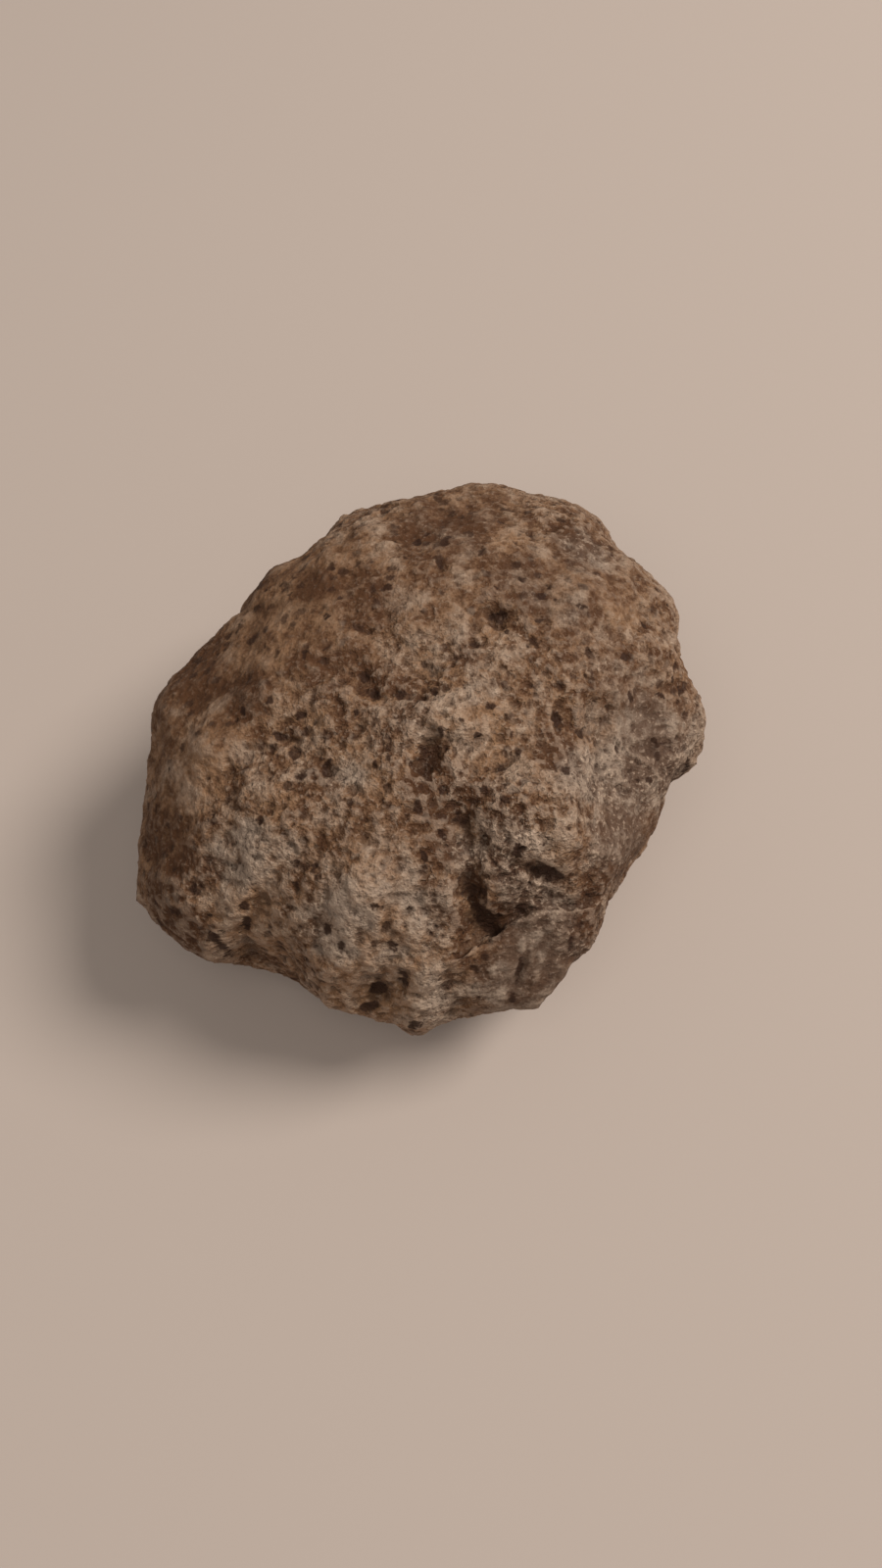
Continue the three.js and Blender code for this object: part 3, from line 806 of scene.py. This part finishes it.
class Graph:
    """A material's nodes, laid out with short words."""

    def __init__(self, name: str) -> None:
        """Starts a material with one shader.

        Args:
            name: The material's name.
        """
        self.material = bpy.data.materials.new(name)
        self.material.use_nodes = True
        self.tree = self.material.node_tree
        self.tree.nodes.clear()
        output = self.tree.nodes.new("ShaderNodeOutputMaterial")
        self.shader = self.tree.nodes.new("ShaderNodeBsdfPrincipled")
        self.tree.links.new(self.shader.outputs["BSDF"], output.inputs["Surface"])
        self.coordinates = self.tree.nodes.new("ShaderNodeTexCoord").outputs["Object"]

    def put(self, node: bpy.types.Node, socket: str | int, value: object) -> None:
        """Sets a node's input, or links it to another node's output.

        Args:
            node: The node.
            socket: The input's name or number.
            value: A number, a colour or an output.
        """
        if isinstance(value, Socket):
            self.tree.links.new(value, node.inputs[socket])
        else:
            node.inputs[socket].default_value = value

    def noise(self, size: float, detail: float, roughness: float, twist: float = 0) -> Socket:
        """Adds soft noise.

        Args:
            size: The size of its swells in millimetres.
            detail: How many finer layers it has.
            roughness: How strong the finer layers are.
            twist: How much the noise twists itself.

        Returns:
            Its output, about 0.5 on the mean.
        """
        node = self.tree.nodes.new("ShaderNodeTexNoise")
        self.put(node, "Vector", self.coordinates)
        self.put(node, "Scale", 1 / (size * MM))
        self.put(node, "Detail", detail)
        self.put(node, "Roughness", roughness)
        self.put(node, "Distortion", twist)
        return node.outputs["Fac"]

    def specks(self, kind: Specks, fray: Socket) -> Socket:
        """Strews soft specks, at most one to each cell.

        Args:
            kind: Their sizes.
            fray: Noise that frays their edges.

        Returns:
            Near 1 in the specks, and 0 between them.
        """
        node = self.tree.nodes.new("ShaderNodeTexVoronoi")
        self.put(node, "Vector", self.coordinates)
        self.put(node, "Scale", 1 / (kind.cell * MM))
        frayed = self.spread(fray, Span(*MOST_NOISE, -kind.reach / 2, kind.reach / 2))
        off = self.plus(node.outputs["Distance"], frayed)
        pick = self.tree.nodes.new("ShaderNodeSeparateColor")
        self.put(pick, "Color", node.outputs["Color"])
        there = self.spread(pick.outputs["Red"], Span(kind.share, kind.share / 2, 0.0, kind.strength))
        return self.times(self.spread(off, Span(kind.reach, kind.core * kind.reach)), there)

    def mask(self, mask: Mask) -> Socket:
        """Reads one of the mesh's masks.

        Args:
            mask: The mask.

        Returns:
            Its value.
        """
        node = self.tree.nodes.new("ShaderNodeAttribute")
        node.attribute_name = mask.value
        return node.outputs["Fac"]

    def spread(self, value: Socket, span: Span) -> Socket:
        """Spreads a value smoothly between two ends.

        Args:
            value: The value.
            span: The ends.

        Returns:
            The spread value.
        """
        node = self.tree.nodes.new("ShaderNodeMapRange")
        node.interpolation_type = "SMOOTHSTEP"
        self.put(node, "Value", value)
        self.put(node, "From Min", span.low)
        self.put(node, "From Max", span.high)
        self.put(node, "To Min", span.to_low)
        self.put(node, "To Max", span.to_high)
        return node.outputs["Result"]

    def maths(self, kind: str, a: Socket, b: Socket | float) -> Socket:
        """Joins two values with one sum.

        Args:
            kind: Blender's name for the sum.
            a: The first value.
            b: The second value.

        Returns:
            The answer.
        """
        node = self.tree.nodes.new("ShaderNodeMath")
        node.operation = kind
        self.put(node, 0, a)
        self.put(node, 1, b)
        return node.outputs[0]

    def plus(self, a: Socket, b: Socket) -> Socket:
        """Adds two values."""
        return self.maths("ADD", a, b)

    def times(self, a: Socket, b: Socket) -> Socket:
        """Multiplies two values."""
        return self.maths("MULTIPLY", a, b)

    def blend(self, share: Socket, low: Socket | Colour, high: Socket | Colour) -> Socket:
        """Blends two colours.

        Args:
            share: How much of the high colour there is.
            low: The colour at share 0.
            high: The colour at share 1.

        Returns:
            The blended colour.
        """
        node = self.tree.nodes.new("ShaderNodeMix")
        node.data_type = "RGBA"
        self.put(node, "Factor", share)
        for socket, colour in ((MIX_LOW, low), (MIX_HIGH, high)):
            self.put(node, socket, (*colour, 1) if isinstance(colour, tuple) else colour)
        return node.outputs[MIX_COLOUR]

    def bump(self, height: Socket, rise: float, below: Socket | None = None) -> Socket:
        """Turns a height into bumps.

        Args:
            height: The height, from 0 to 1.
            rise: How high 1 stands, in millimetres.
            below: Bumps that these are added to.

        Returns:
            The surface's normal.
        """
        node = self.tree.nodes.new("ShaderNodeBump")
        self.put(node, "Height", height)
        self.put(node, "Distance", rise * MM)
        if below is not None:
            self.put(node, "Normal", below)
        return node.outputs["Normal"]


@dataclass(frozen=True)
class WeatheredCrust:
    """The stone's finish: warm brown varnish over grey speckled stone, darkened in its pits and hollows,
    partly stained and partly painted shade, with painted highlights on the tips of its grains.
    """

    varnish_dark: Colour = (0.082, 0.034, 0.0135)
    varnish_light: Colour = (0.250, 0.135, 0.070)
    grey_dark: Colour = (0.102, 0.058, 0.036)
    grey_light: Colour = (0.290, 0.209, 0.152)
    # A pale colour for worn flecks and crystals, and also for the painted highlights on the tips of grains.
    pale: Colour = (0.50, 0.36, 0.26)
    # A dark brown for dirty flecks and specks, and also for the painted shade in the hollows and pits.
    dirt_and_shade: Colour = (0.031, 0.012, 0.0052)
    # Size in millimetres, finer layers, their strength and, for the patches, the twist of each noise.
    patches: tuple[float, ...] = (2.4, 4, 0.6, 0.15)
    mottle: tuple[float, ...] = (0.8, 2, 0.55)
    grain: tuple[float, ...] = (0.22, 2, 0.5)
    flecks: tuple[float, ...] = (0.38, 2, 0.55)
    # How strong the fine marks and the mottling are, from calm skin to crumbly skin.
    crispness: Span = Span(0.15, 0.85, 0.25, 1.7)
    mottling: Span = Span(0.15, 0.85, 0.08, 0.22)
    mottle_swing: Span = Span(*MOST_NOISE, -1.0, 1.0)
    # Where the varnish gives way to the grey stone.
    patch_bareness: Span = Span(0.3, 0.7, -0.25, 0.25)
    bareness: Span = Span(0.2, 0.85)
    # What makes the tone, from dark to light, and how the varnish and the grey stone follow it.
    zone_tone: Span = Span(0.0, 1.0, 0.29, 0.71)
    patch_tone: Span = Span(0.3, 0.7, -0.13, 0.13)
    grain_tone: Span = Span(0.3, 0.7, -0.08, 0.08)
    varnish_tone: Span = Span(0.3, 0.7)
    grey_tone: Span = Span(0.3, 0.68)
    # Painted shade in the hollows, the pale and dark flecks where the skin is worn, painted shade in the
    # small hollows, dark specks, and painted highlights on the tips of grains.
    hollow_shade: Span = Span(0.45, 0.0, 0.0, 0.45)
    wear: Span = Span(0.0, 1.0, 0.3, 0.7)
    light_flecks: Span = Span(0.56, 0.68)
    dark_flecks: Span = Span(0.43, 0.32)
    small_hollow_shade: Span = Span(0.5, 0.0, 0.0, 0.42)
    small_hollow_shade_most: float = 0.9
    spots: Specks = Specks(1.3, 0.42, 0.8)
    spots_by_bareness: Span = Span(0.2, 0.8, 0.85, 0.15)
    tip_highlight: Span = Span(0.55, 1.0, 0.0, 0.28)
    # Staining and painted shade in the pits, with a ragged edge.
    pit_mottle: Span = Span(0.3, 0.7, -0.25, 0.25)
    pit_flecks: Span = Span(0.3, 0.7, -0.2, 0.2)
    pit_dirt_and_shade: Span = Span(0.15, 0.8, 0.0, 0.92)
    crystals: Specks = Specks(0.9, 0.22, 0.5)
    crystals_by_bareness: Span = Span(0.0, 1.0, 0.15, 0.6)
    # The sheen: rougher where the grain is low, smoother where it is high.
    sheen: Span = Span(0.3, 0.7, 0.92, 0.68)
    specular: float = 0.2
    # How high the fine relief stands, in millimetres.
    mottle_rise: float = 0.5
    fleck_rise: float = 0.3
    grain_rise: float = 0.05

    def material(self) -> bpy.types.Material:
        """Builds the material.

        Returns:
            The material.
        """
        graph = Graph("weathered crust")
        patches = graph.noise(*self.patches)
        mottle = graph.noise(*self.mottle)
        grain = graph.noise(*self.grain)
        flecks = graph.noise(*self.flecks)
        crisp = graph.spread(graph.mask(Mask.CRISP), self.crispness)
        calm = graph.spread(graph.mask(Mask.CRISP), self.mottling)
        swells = graph.times(graph.spread(mottle, self.mottle_swing), calm)
        bare = graph.plus(graph.mask(Mask.GREY), graph.spread(patches, self.patch_bareness))
        bare = graph.spread(bare, self.bareness)
        # The tone mask holds painted light and shade as well as the varnish's own tone.
        tone = graph.plus(swells, graph.spread(graph.mask(Mask.TONE), self.zone_tone))
        tone = graph.plus(tone, graph.spread(patches, self.patch_tone))
        grains = graph.times(graph.spread(grain, self.grain_tone), crisp)
        tone = graph.plus(tone, grains)
        varnish = graph.blend(graph.spread(tone, self.varnish_tone), self.varnish_dark, self.varnish_light)
        grey = graph.blend(graph.spread(tone, self.grey_tone), self.grey_dark, self.grey_light)
        colour = graph.blend(bare, varnish, grey)
        # Painted shade: darker in the grooves and hollows that the broad mask finds.
        colour = graph.blend(graph.spread(graph.mask(Mask.BROAD), self.hollow_shade), colour, self.dirt_and_shade)
        worn = graph.times(graph.spread(bare, self.wear), crisp)
        colour = graph.blend(graph.times(graph.spread(flecks, self.light_flecks), worn), colour, self.pale)
        colour = graph.blend(graph.times(graph.spread(flecks, self.dark_flecks), worn), colour, self.dirt_and_shade)
        # Painted shade in the small hollows that the fine mask finds, less where the skin is calm.
        damp = graph.maths("MINIMUM", crisp, self.small_hollow_shade_most)
        small = graph.times(graph.spread(graph.mask(Mask.FINE), self.small_hollow_shade), damp)
        colour = graph.blend(small, colour, self.dirt_and_shade)
        spots = graph.specks(self.spots, mottle)
        spots = graph.times(spots, graph.spread(bare, self.spots_by_bareness))
        colour = graph.blend(spots, colour, self.dirt_and_shade)
        # Painted highlights: the tips of grains that the fine mask finds are paler.
        tips = graph.times(graph.spread(graph.mask(Mask.FINE), self.tip_highlight), crisp)
        colour = graph.blend(tips, colour, self.pale)
        # Staining and painted shade in the pits and hollows.
        sunk = graph.plus(graph.mask(Mask.PITTED), graph.spread(mottle, self.pit_mottle))
        sunk = graph.plus(sunk, graph.spread(flecks, self.pit_flecks))
        colour = graph.blend(graph.spread(sunk, self.pit_dirt_and_shade), colour, self.dirt_and_shade)
        crystals = graph.specks(self.crystals, grain)
        crystals = graph.times(crystals, graph.spread(bare, self.crystals_by_bareness))
        colour = graph.blend(crystals, colour, self.pale)
        graph.put(graph.shader, "Base Color", colour)
        graph.put(graph.shader, "Roughness", graph.spread(grain, self.sheen))
        graph.put(graph.shader, "Specular IOR Level", self.specular)
        bumps = graph.bump(swells, self.mottle_rise)
        bumps = graph.bump(graph.times(flecks, crisp), self.fleck_rise, bumps)
        bumps = graph.bump(graph.times(grain, crisp), self.grain_rise, bumps)
        graph.put(graph.shader, "Normal", bumps)
        return graph.material


@dataclass(frozen=True)
class PaleSheet:
    """The floor's plain pale finish."""

    colour: Colour = (0.46, 0.375, 0.32)
    roughness: float = 0.9

    def material(self) -> bpy.types.Material:
        """Builds the material.

        Returns:
            The material.
        """
        graph = Graph("pale floor")
        graph.put(graph.shader, "Base Color", (*self.colour, 1))
        graph.put(graph.shader, "Roughness", self.roughness)
        return graph.material


# ---------------------------------------------------------------- the stone


@dataclass
class Meteorite:
    """The stone: its mesh, its skin and its finish."""

    form: BroadForm = field(default_factory=BroadForm)
    skin: Skin = field(default_factory=Skin)
    finish: WeatheredCrust = field(default_factory=WeatheredCrust)
    cuts: int = 98  # how often each edge of the icosahedron is cut
    flatness: float = 0.6  # the stone's height as a share of its width, which spreads its vertices evenly
    lift: float = 0.3  # draws the vertices up, so that the broad face is the finest
    inset: float = 0.01  # how far inside its solid's box the skin stays
    grey_all_over: float = 0.34  # how grey it is where no zone says otherwise
    # The rows of the next two lists were made by a program, from listed spots.
    grey_zones: tuple[Zone, ...] = (
        (-10.2, 5.1, 8.9, -0.2), (-19.9, 2.8, 3.2, -0.45), (-20.8, -12.5, 3.2, -0.55),
        (-19.9, -17.4, 2.4, -0.4), (-23.5, -4.0, 2.1, -0.3), (0.7, -7.4, 2.1, -0.4),
        (4.6, -17.4, 1.9, -0.6), (7.8, -14.1, 1.3, -0.3), (9.6, -5.9, 1.6, -0.3),
        (-3.9, -24.0, 1.3, -0.5), (2.1, 17.0, 2.7, -0.25), (-4.2, -0.6, 1.8, -0.25),
        (13.9, 12.6, 2.9, 0.4), (18.1, -4.8, 4.7, 0.5), (12.3, -7.2, 2.1, 0.5), (15.7, -12.1, 2.9, 0.4),
        (-14.4, -13.2, 3.2, 0.4), (-10.7, -14.3, 1.8, 0.25), (-5.9, -7.1, 1.9, 0.3),
        (4.9, -0.7, 1.9, 0.2), (-0.6, -2.7, 2.1, 0.3), (-6.6, -18.7, 3.1, 0.4), (0.9, -17.5, 2.4, 0.3),
        (0.8, -24.1, 2.4, 0.4), (9.1, -21.3, 4.0, 0.5), (5.6, -23.1, 2.4, 0.35), (12.8, 6.0, 1.9, 0.2),
        (3.9, 3.5, 1.6, 0.2), (16.7, 0.6, 2.9, 0.2), (15.0, -7.2, 5.2, 0.3), (21.4, -1.9, 4.0, 0.3),
        (8.5, -15.8, 3.6, 0.3), (-2.5, -18.0, 4.8, 0.2), (5.4, -12.9, 4.0, 0.22), (10.6, -18.8, 3.2, 0.3),
        (-21.2, -10.6, 3.6, -0.25),
    )  # where it is greyer or browner
    tone_and_shading_zones: tuple[Zone, ...] = (
        (-19.3, 2.4, 3.6, -0.55), (-14.0, -0.2, 2.6, -0.45), (-7.3, 0.8, 3.9, -0.25),
        (-4.4, 6.9, 3.4, -0.3), (-14.3, 11.8, 1.6, -0.3), (-2.0, 0.3, 2.4, -0.25), (1.2, 15.9, 2.4, -0.6),
        (8.0, 9.4, 2.9, -0.25), (3.8, 1.8, 1.3, -0.35), (5.7, 4.4, 1.9, 0.25), (16.5, 6.4, 1.9, 0.25),
        (3.9, -2.1, 3.2, 0.3), (18.7, -1.4, 1.8, -0.5), (14.7, -4.2, 2.4, 0.4), (10.1, -5.5, 1.9, -0.5),
        (-5.5, -6.9, 1.9, 0.5), (-2.9, -8.9, 1.6, 0.3), (-8.3, -7.6, 1.5, -0.25),
        (-17.5, -7.5, 2.4, 0.25), (-11.1, -9.8, 1.6, 0.4), (-14.8, -12.2, 1.9, 0.45),
        (-11.8, -14.2, 1.8, 0.4), (-12.8, -16.6, 1.8, 0.6), (-21.2, -10.6, 1.9, -0.3),
        (-20.7, -15.9, 2.7, -0.65), (-18.2, -13.9, 2.1, -0.3), (-19.6, -18.8, 2.3, -0.65),
        (-15.3, -20.1, 1.6, 0.4), (-11.9, -20.1, 1.6, 0.7), (-5.9, -18.0, 1.9, 0.45),
        (-3.2, -19.2, 1.8, 0.35), (-2.6, -22.0, 1.5, 0.9), (0.5, -24.5, 1.9, 0.35),
        (0.7, -9.1, 1.5, -0.6), (0.6, -11.0, 1.1, -0.4), (4.0, -12.1, 1.1, 0.55), (9.2, -13.0, 1.3, 0.35),
        (16.7, -11.1, 2.4, -0.6), (13.0, -18.1, 1.9, -0.5), (6.3, -18.5, 1.5, -0.3),
        (9.5, -20.8, 1.6, 0.2), (7.8, -23.1, 1.1, -0.4), (6.9, -15.9, 1.3, -0.3), (3.2, -18.4, 1.1, -0.4),
        (-21.2, -10.6, 3.6, -0.15), (-1.1, -23.3, 3.2, 0.5), (-3.2, -18.0, 4.4, 0.3),
        (9.5, -21.3, 4.8, -0.22), (15.5, -14.4, 3.6, -0.25), (3.3, 13.5, 5.6, -0.12),
        (15.0, 3.4, 4.8, -0.1), (-2.5, -4.4, 2.1, -0.1), (-14.1, -19.9, 2.1, 0.5), (5.4, -5.2, 2.3, 0.35),
        (0.1, 1.0, 1.6, 0.3), (-8.1, -3.2, 1.3, 0.35), (9.9, -14.1, 1.8, 0.3), (2.0, -13.4, 1.6, -0.4),
        (12.8, 13.9, 2.4, -0.4), (9.1, 6.8, 1.6, -0.35), (-8.8, 8.6, 2.7, -0.2), (-19.9, 6.1, 2.4, -0.4),
        (6.9, 12.7, 1.9, 0.3), (20.0, -4.0, 2.4, -0.3), (-15.0, -17.4, 3.2, 0.25),
        (8.1, -15.8, 2.9, -0.3), (12.4, -19.9, 2.7, -0.35), (1.6, -8.5, 2.7, -0.3),
        (2.1, 15.1, 4.4, -0.15), (18.6, -5.9, 4.0, -0.15), (5.3, -12.2, 3.6, -0.12),
        (12.8, -18.3, 2.4, -0.25), (-2.3, -22.9, 2.4, 0.2), (-5.4, -23.4, 3.6, 0.25),
        (-16.9, -5.4, 3.6, 0.1), (15.9, -13.1, 2.9, -0.15), (2.0, -9.2, 2.3, -0.12),
    )  # where it is paler or darker, partly the stone's own tone and partly painted light and shade
    knob_tone: float = 0.3  # how much paler the knobs are
    knob_stain: Pair = (0.05, 0.7)  # the pits' darkening, taken as negative, where a knob starts and where it is full
    pit_stain_and_shade: Pair = (0.05, 1.0)  # the darkening, staining and painted shade, where a pit starts to darken and where it is darkest
    # The two standing masks below give the painted shade in small and large hollows, and the painted
    # highlights on the tips of grains.
    fine_rounds: int = 6  # rounds of smoothing that small hollows are told from,
    fine_full: float = 0.10  # and how deep they are where they are darkest
    broad_rounds: int = 60  # and the same for large hollows
    broad_full: float = 0.55

    def ball(self) -> tuple[np.ndarray, np.ndarray]:
        """Makes an even ball of small triangles.

        Returns:
            Unit vectors, one in each row, and the triangles that join them.
        """
        bm = bmesh.new()
        bmesh.ops.create_icosphere(bm, subdivisions=1, radius=1)
        bmesh.ops.subdivide_edges(bm, edges=bm.edges[:], cuts=self.cuts, use_grid_fill=True)
        points = np.array([vertex.co for vertex in bm.verts])
        triangles = np.array([[vertex.index for vertex in face.verts] for face in bm.faces])
        bm.free()
        return points / np.linalg.norm(points, axis=1)[:, None], triangles

    def directions(self, ball: np.ndarray) -> np.ndarray:
        """Turns an even ball into directions that spread evenly over a flat stone.

        Args:
            ball: Unit vectors, one in each row.

        Returns:
            Unit vectors, one in each row.
        """
        out = self.form.face.axes[2]
        lifted = ball + self.lift * out
        lifted /= np.linalg.norm(lifted, axis=1)[:, None]
        flat = lifted - (1 - self.flatness) * (lifted @ out)[:, None] * out
        return flat / np.linalg.norm(flat, axis=1)[:, None]

    @staticmethod
    def normals(points: np.ndarray, triangles: np.ndarray) -> np.ndarray:
        """Finds the way out of the stone at each point.

        Args:
            points: The points, one in each row.
            triangles: The triangles that join them.

        Returns:
            Unit vectors, one in each row.
        """
        a, b, c = (points[triangles[:, n]] for n in range(3))
        faces = np.cross(b - a, c - a)
        total = np.zeros_like(points)
        for n, axis in itertools.product(range(3), range(3)):
            total[:, axis] += np.bincount(triangles[:, n], faces[:, axis], len(points))
        return total / np.linalg.norm(total, axis=1)[:, None]

    @staticmethod
    def smoothed(points: np.ndarray, triangles: np.ndarray, rounds: int) -> np.ndarray:
        """Draws each point towards the mean of its neighbours.

        Args:
            points: The points, one in each row.
            triangles: The triangles that join them.
            rounds: How many times it is done.

        Returns:
            The smoothed points.
        """
        starts = triangles.ravel()
        ends = np.roll(triangles, -1, axis=1).ravel()
        count = np.bincount(starts, minlength=len(points))[:, None]
        for _ in range(rounds):
            mean = np.stack([np.bincount(starts, points[ends, n], len(points)) for n in range(3)], axis=1)
            points = mean / count
        return points

    def standing(
        self, points: np.ndarray, normals: np.ndarray, triangles: np.ndarray, rounds: int, full: float
    ) -> np.ndarray:
        """Tells how far each point stands out of its surroundings.

        Args:
            points: The skin's points.
            normals: The way out of the stone at each.
            triangles: The triangles that join them.
            rounds: How many rounds of smoothing the surroundings are.
            full: The height that counts as 1, in millimetres.

        Returns:
            A number from 0 in hollows to 1 on tips, and 0.5 on level ground.
        """
        height = ((points - self.smoothed(points, triangles, rounds)) * normals).sum(axis=1)
        return np.clip(0.5 + 0.5 * height / full, 0, 1)

    def build(self) -> bpy.types.Object:
        """Builds the stone in its solid's box.

        Returns:
            The stone's object.
        """
        ball, triangles = self.ball()
        points = self.form.surface(self.directions(ball))
        normals = self.normals(points, triangles)
        if (normals * points).sum() < 0:
            triangles = triangles[:, ::-1]
            normals = -normals
        skin, stain_and_shade, temper = self.skin.roughen(points, normals, self.form.face)
        skin = self.form.stand(skin)
        across, up, outward = self.form.face.split(points)
        on_face = outward > 0
        knobs = self.knob_tone * smoothstep(-stain_and_shade, *self.knob_stain)
        masks = {
            Mask.GREY: self.grey_all_over + on_face * zone_share(across, up, self.grey_zones),
            Mask.TONE: 0.5 + on_face * zone_share(across, up, self.tone_and_shading_zones) + knobs,
            Mask.PITTED: smoothstep(stain_and_shade, *self.pit_stain_and_shade),
            Mask.FINE: self.standing(skin, normals, triangles, self.fine_rounds, self.fine_full),
            Mask.BROAD: self.standing(skin, normals, triangles, self.broad_rounds, self.broad_full),
            Mask.CRISP: temper / 2,  # half where the skin is neither calmed nor roughened
        }
        return self.mesh_object(self.set_down(skin), triangles, masks)

    def set_down(self, points: np.ndarray) -> np.ndarray:
        """Moves the skin into the box of the stone's solid.

        Args:
            points: The skin in millimetres around the heart.

        Returns:
            The skin in metres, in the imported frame.
        """
        low, high = (np.array(corner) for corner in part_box("stone"))
        low, high = low + self.inset * MM, high - self.inset * MM
        share = (points - points.min(axis=0)) / (points.max(axis=0) - points.min(axis=0))
        log.info("the skin is scaled by %s to fit its box", (high - low) / MM / np.ptp(points, axis=0))
        return low + share * (high - low)

    @staticmethod
    def mesh_object(
        points: np.ndarray, triangles: np.ndarray, masks: dict[Mask, np.ndarray]
    ) -> bpy.types.Object:
        """Makes a smooth-shaded mesh object with its masks.

        Args:
            points: The points in metres.
            triangles: The triangles that join them.
            masks: The value of each mask at each point.

        Returns:
            The object.
        """
        mesh = bpy.data.meshes.new("stone_skin")
        mesh.from_pydata(points, [], triangles.tolist())
        for mask, values in masks.items():
            layer = mesh.attributes.new(mask.value, "FLOAT", "POINT")
            layer.data.foreach_set("value", values.astype(np.float32))
        mesh.shade_smooth()
        obj = bpy.data.objects.new("stone_skin", mesh)
        bpy.context.scene.collection.objects.link(obj)
        return obj

    def dress(self, obj: bpy.types.Object) -> None:
        """Gives the stone its finish, and puts it in the place of its solid.

        Args:
            obj: The stone's object.
        """
        obj.data.materials.append(self.finish.material())
        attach(obj, "root")
        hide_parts("stone")


# ---------------------------------------------------------------- the studio


@dataclass(frozen=True)
class Lamp:
    """A soft round light that looks at the stone. Sizes are in metres."""

    name: str
    place: tuple[float, float, float]
    width: float
    power: float  # watts
    colour: Colour

    def hang(self) -> None:
        """Hangs the light."""
        light = bpy.data.lights.new(self.name, "AREA")
        light.shape = "DISK"
        light.size = self.width
        light.energy = self.power
        light.color = self.colour
        obj = bpy.data.objects.new(self.name, light)
        obj.location = self.place
        obj.rotation_euler = (-Vector(self.place)).to_track_quat("-Z", "Y").to_euler()
        bpy.context.scene.collection.objects.link(obj)


@dataclass
class Studio:
    """The plain pale floor, the soft lights and the camera. Sizes are in metres."""

    floor_width: float = 3.0
    floor_finish: PaleSheet = field(default_factory=PaleSheet)
    lamps: tuple[Lamp, ...] = (
        Lamp("window", (0.6, 0.2, 0.75), 0.42, 8.4, (1.0, 0.97, 0.93)),
        Lamp("ceiling", (-0.1, -0.45, 1.05), 1.0, 3.6, (1.0, 0.98, 0.95)),
    )
    room_colour: Colour = (0.95, 0.92, 0.90)  # the light that comes from all round
    room_strength: float = 0.26
    eye: tuple[float, float, float] = (0.00171, -0.04701, 0.10686)
    eye_tilt: float = 25.0  # degrees from looking straight down
    lens: float = 27.0  # millimetres, for a frame 36 mm high
    nearest: float = 0.005  # the camera sees nothing nearer than this

    def lay_floor(self) -> bpy.types.Object:
        """Lays the floor under the stone.

        Returns:
            The floor.
        """
        half = self.floor_width / 2
        points = [(-half, -half, 0), (half, -half, 0), (half, half, 0), (-half, half, 0)]
        mesh = bpy.data.meshes.new("floor")
        mesh.from_pydata(points, [], [(0, 1, 2, 3)])
        mesh.materials.append(self.floor_finish.material())
        floor = bpy.data.objects.new("floor", mesh)
        bpy.context.scene.collection.objects.link(floor)
        return floor

    def light_up(self) -> None:
        """Hangs the lights and sets the soft light that comes from all round."""
        for lamp in self.lamps:
            lamp.hang()
        world = bpy.data.worlds.new("soft room")
        world.use_nodes = True
        background = world.node_tree.nodes["Background"]
        background.inputs["Color"].default_value = (*self.room_colour, 1)
        background.inputs["Strength"].default_value = self.room_strength
        bpy.context.scene.world = world
        bpy.context.scene.view_settings.view_transform = "Standard"

    def set_camera(self) -> None:
        """Sets the camera over the front of the stone."""
        camera = bpy.data.cameras.new("camera")
        camera.lens = self.lens
        camera.clip_start = self.nearest
        obj = bpy.data.objects.new("camera", camera)
        obj.location = self.eye
        obj.rotation_euler = (math.radians(self.eye_tilt), 0, 0)
        bpy.context.scene.collection.objects.link(obj)
        bpy.context.scene.camera = obj


def main() -> None:
    """Builds the stone and its studio, and reports each."""
    logging.basicConfig(level=logging.INFO, format="%(name)s: %(message)s")
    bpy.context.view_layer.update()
    meteorite = Meteorite()
    stone = meteorite.build()
    log.info("stone: %d vertices, %d triangles", len(stone.data.vertices), len(stone.data.polygons))
    meteorite.dress(stone)
    studio = Studio()
    studio.lay_floor()
    studio.light_up()
    studio.set_camera()
    log.info("studio: floor, lights and camera")


if __name__ == "__main__":
    main()
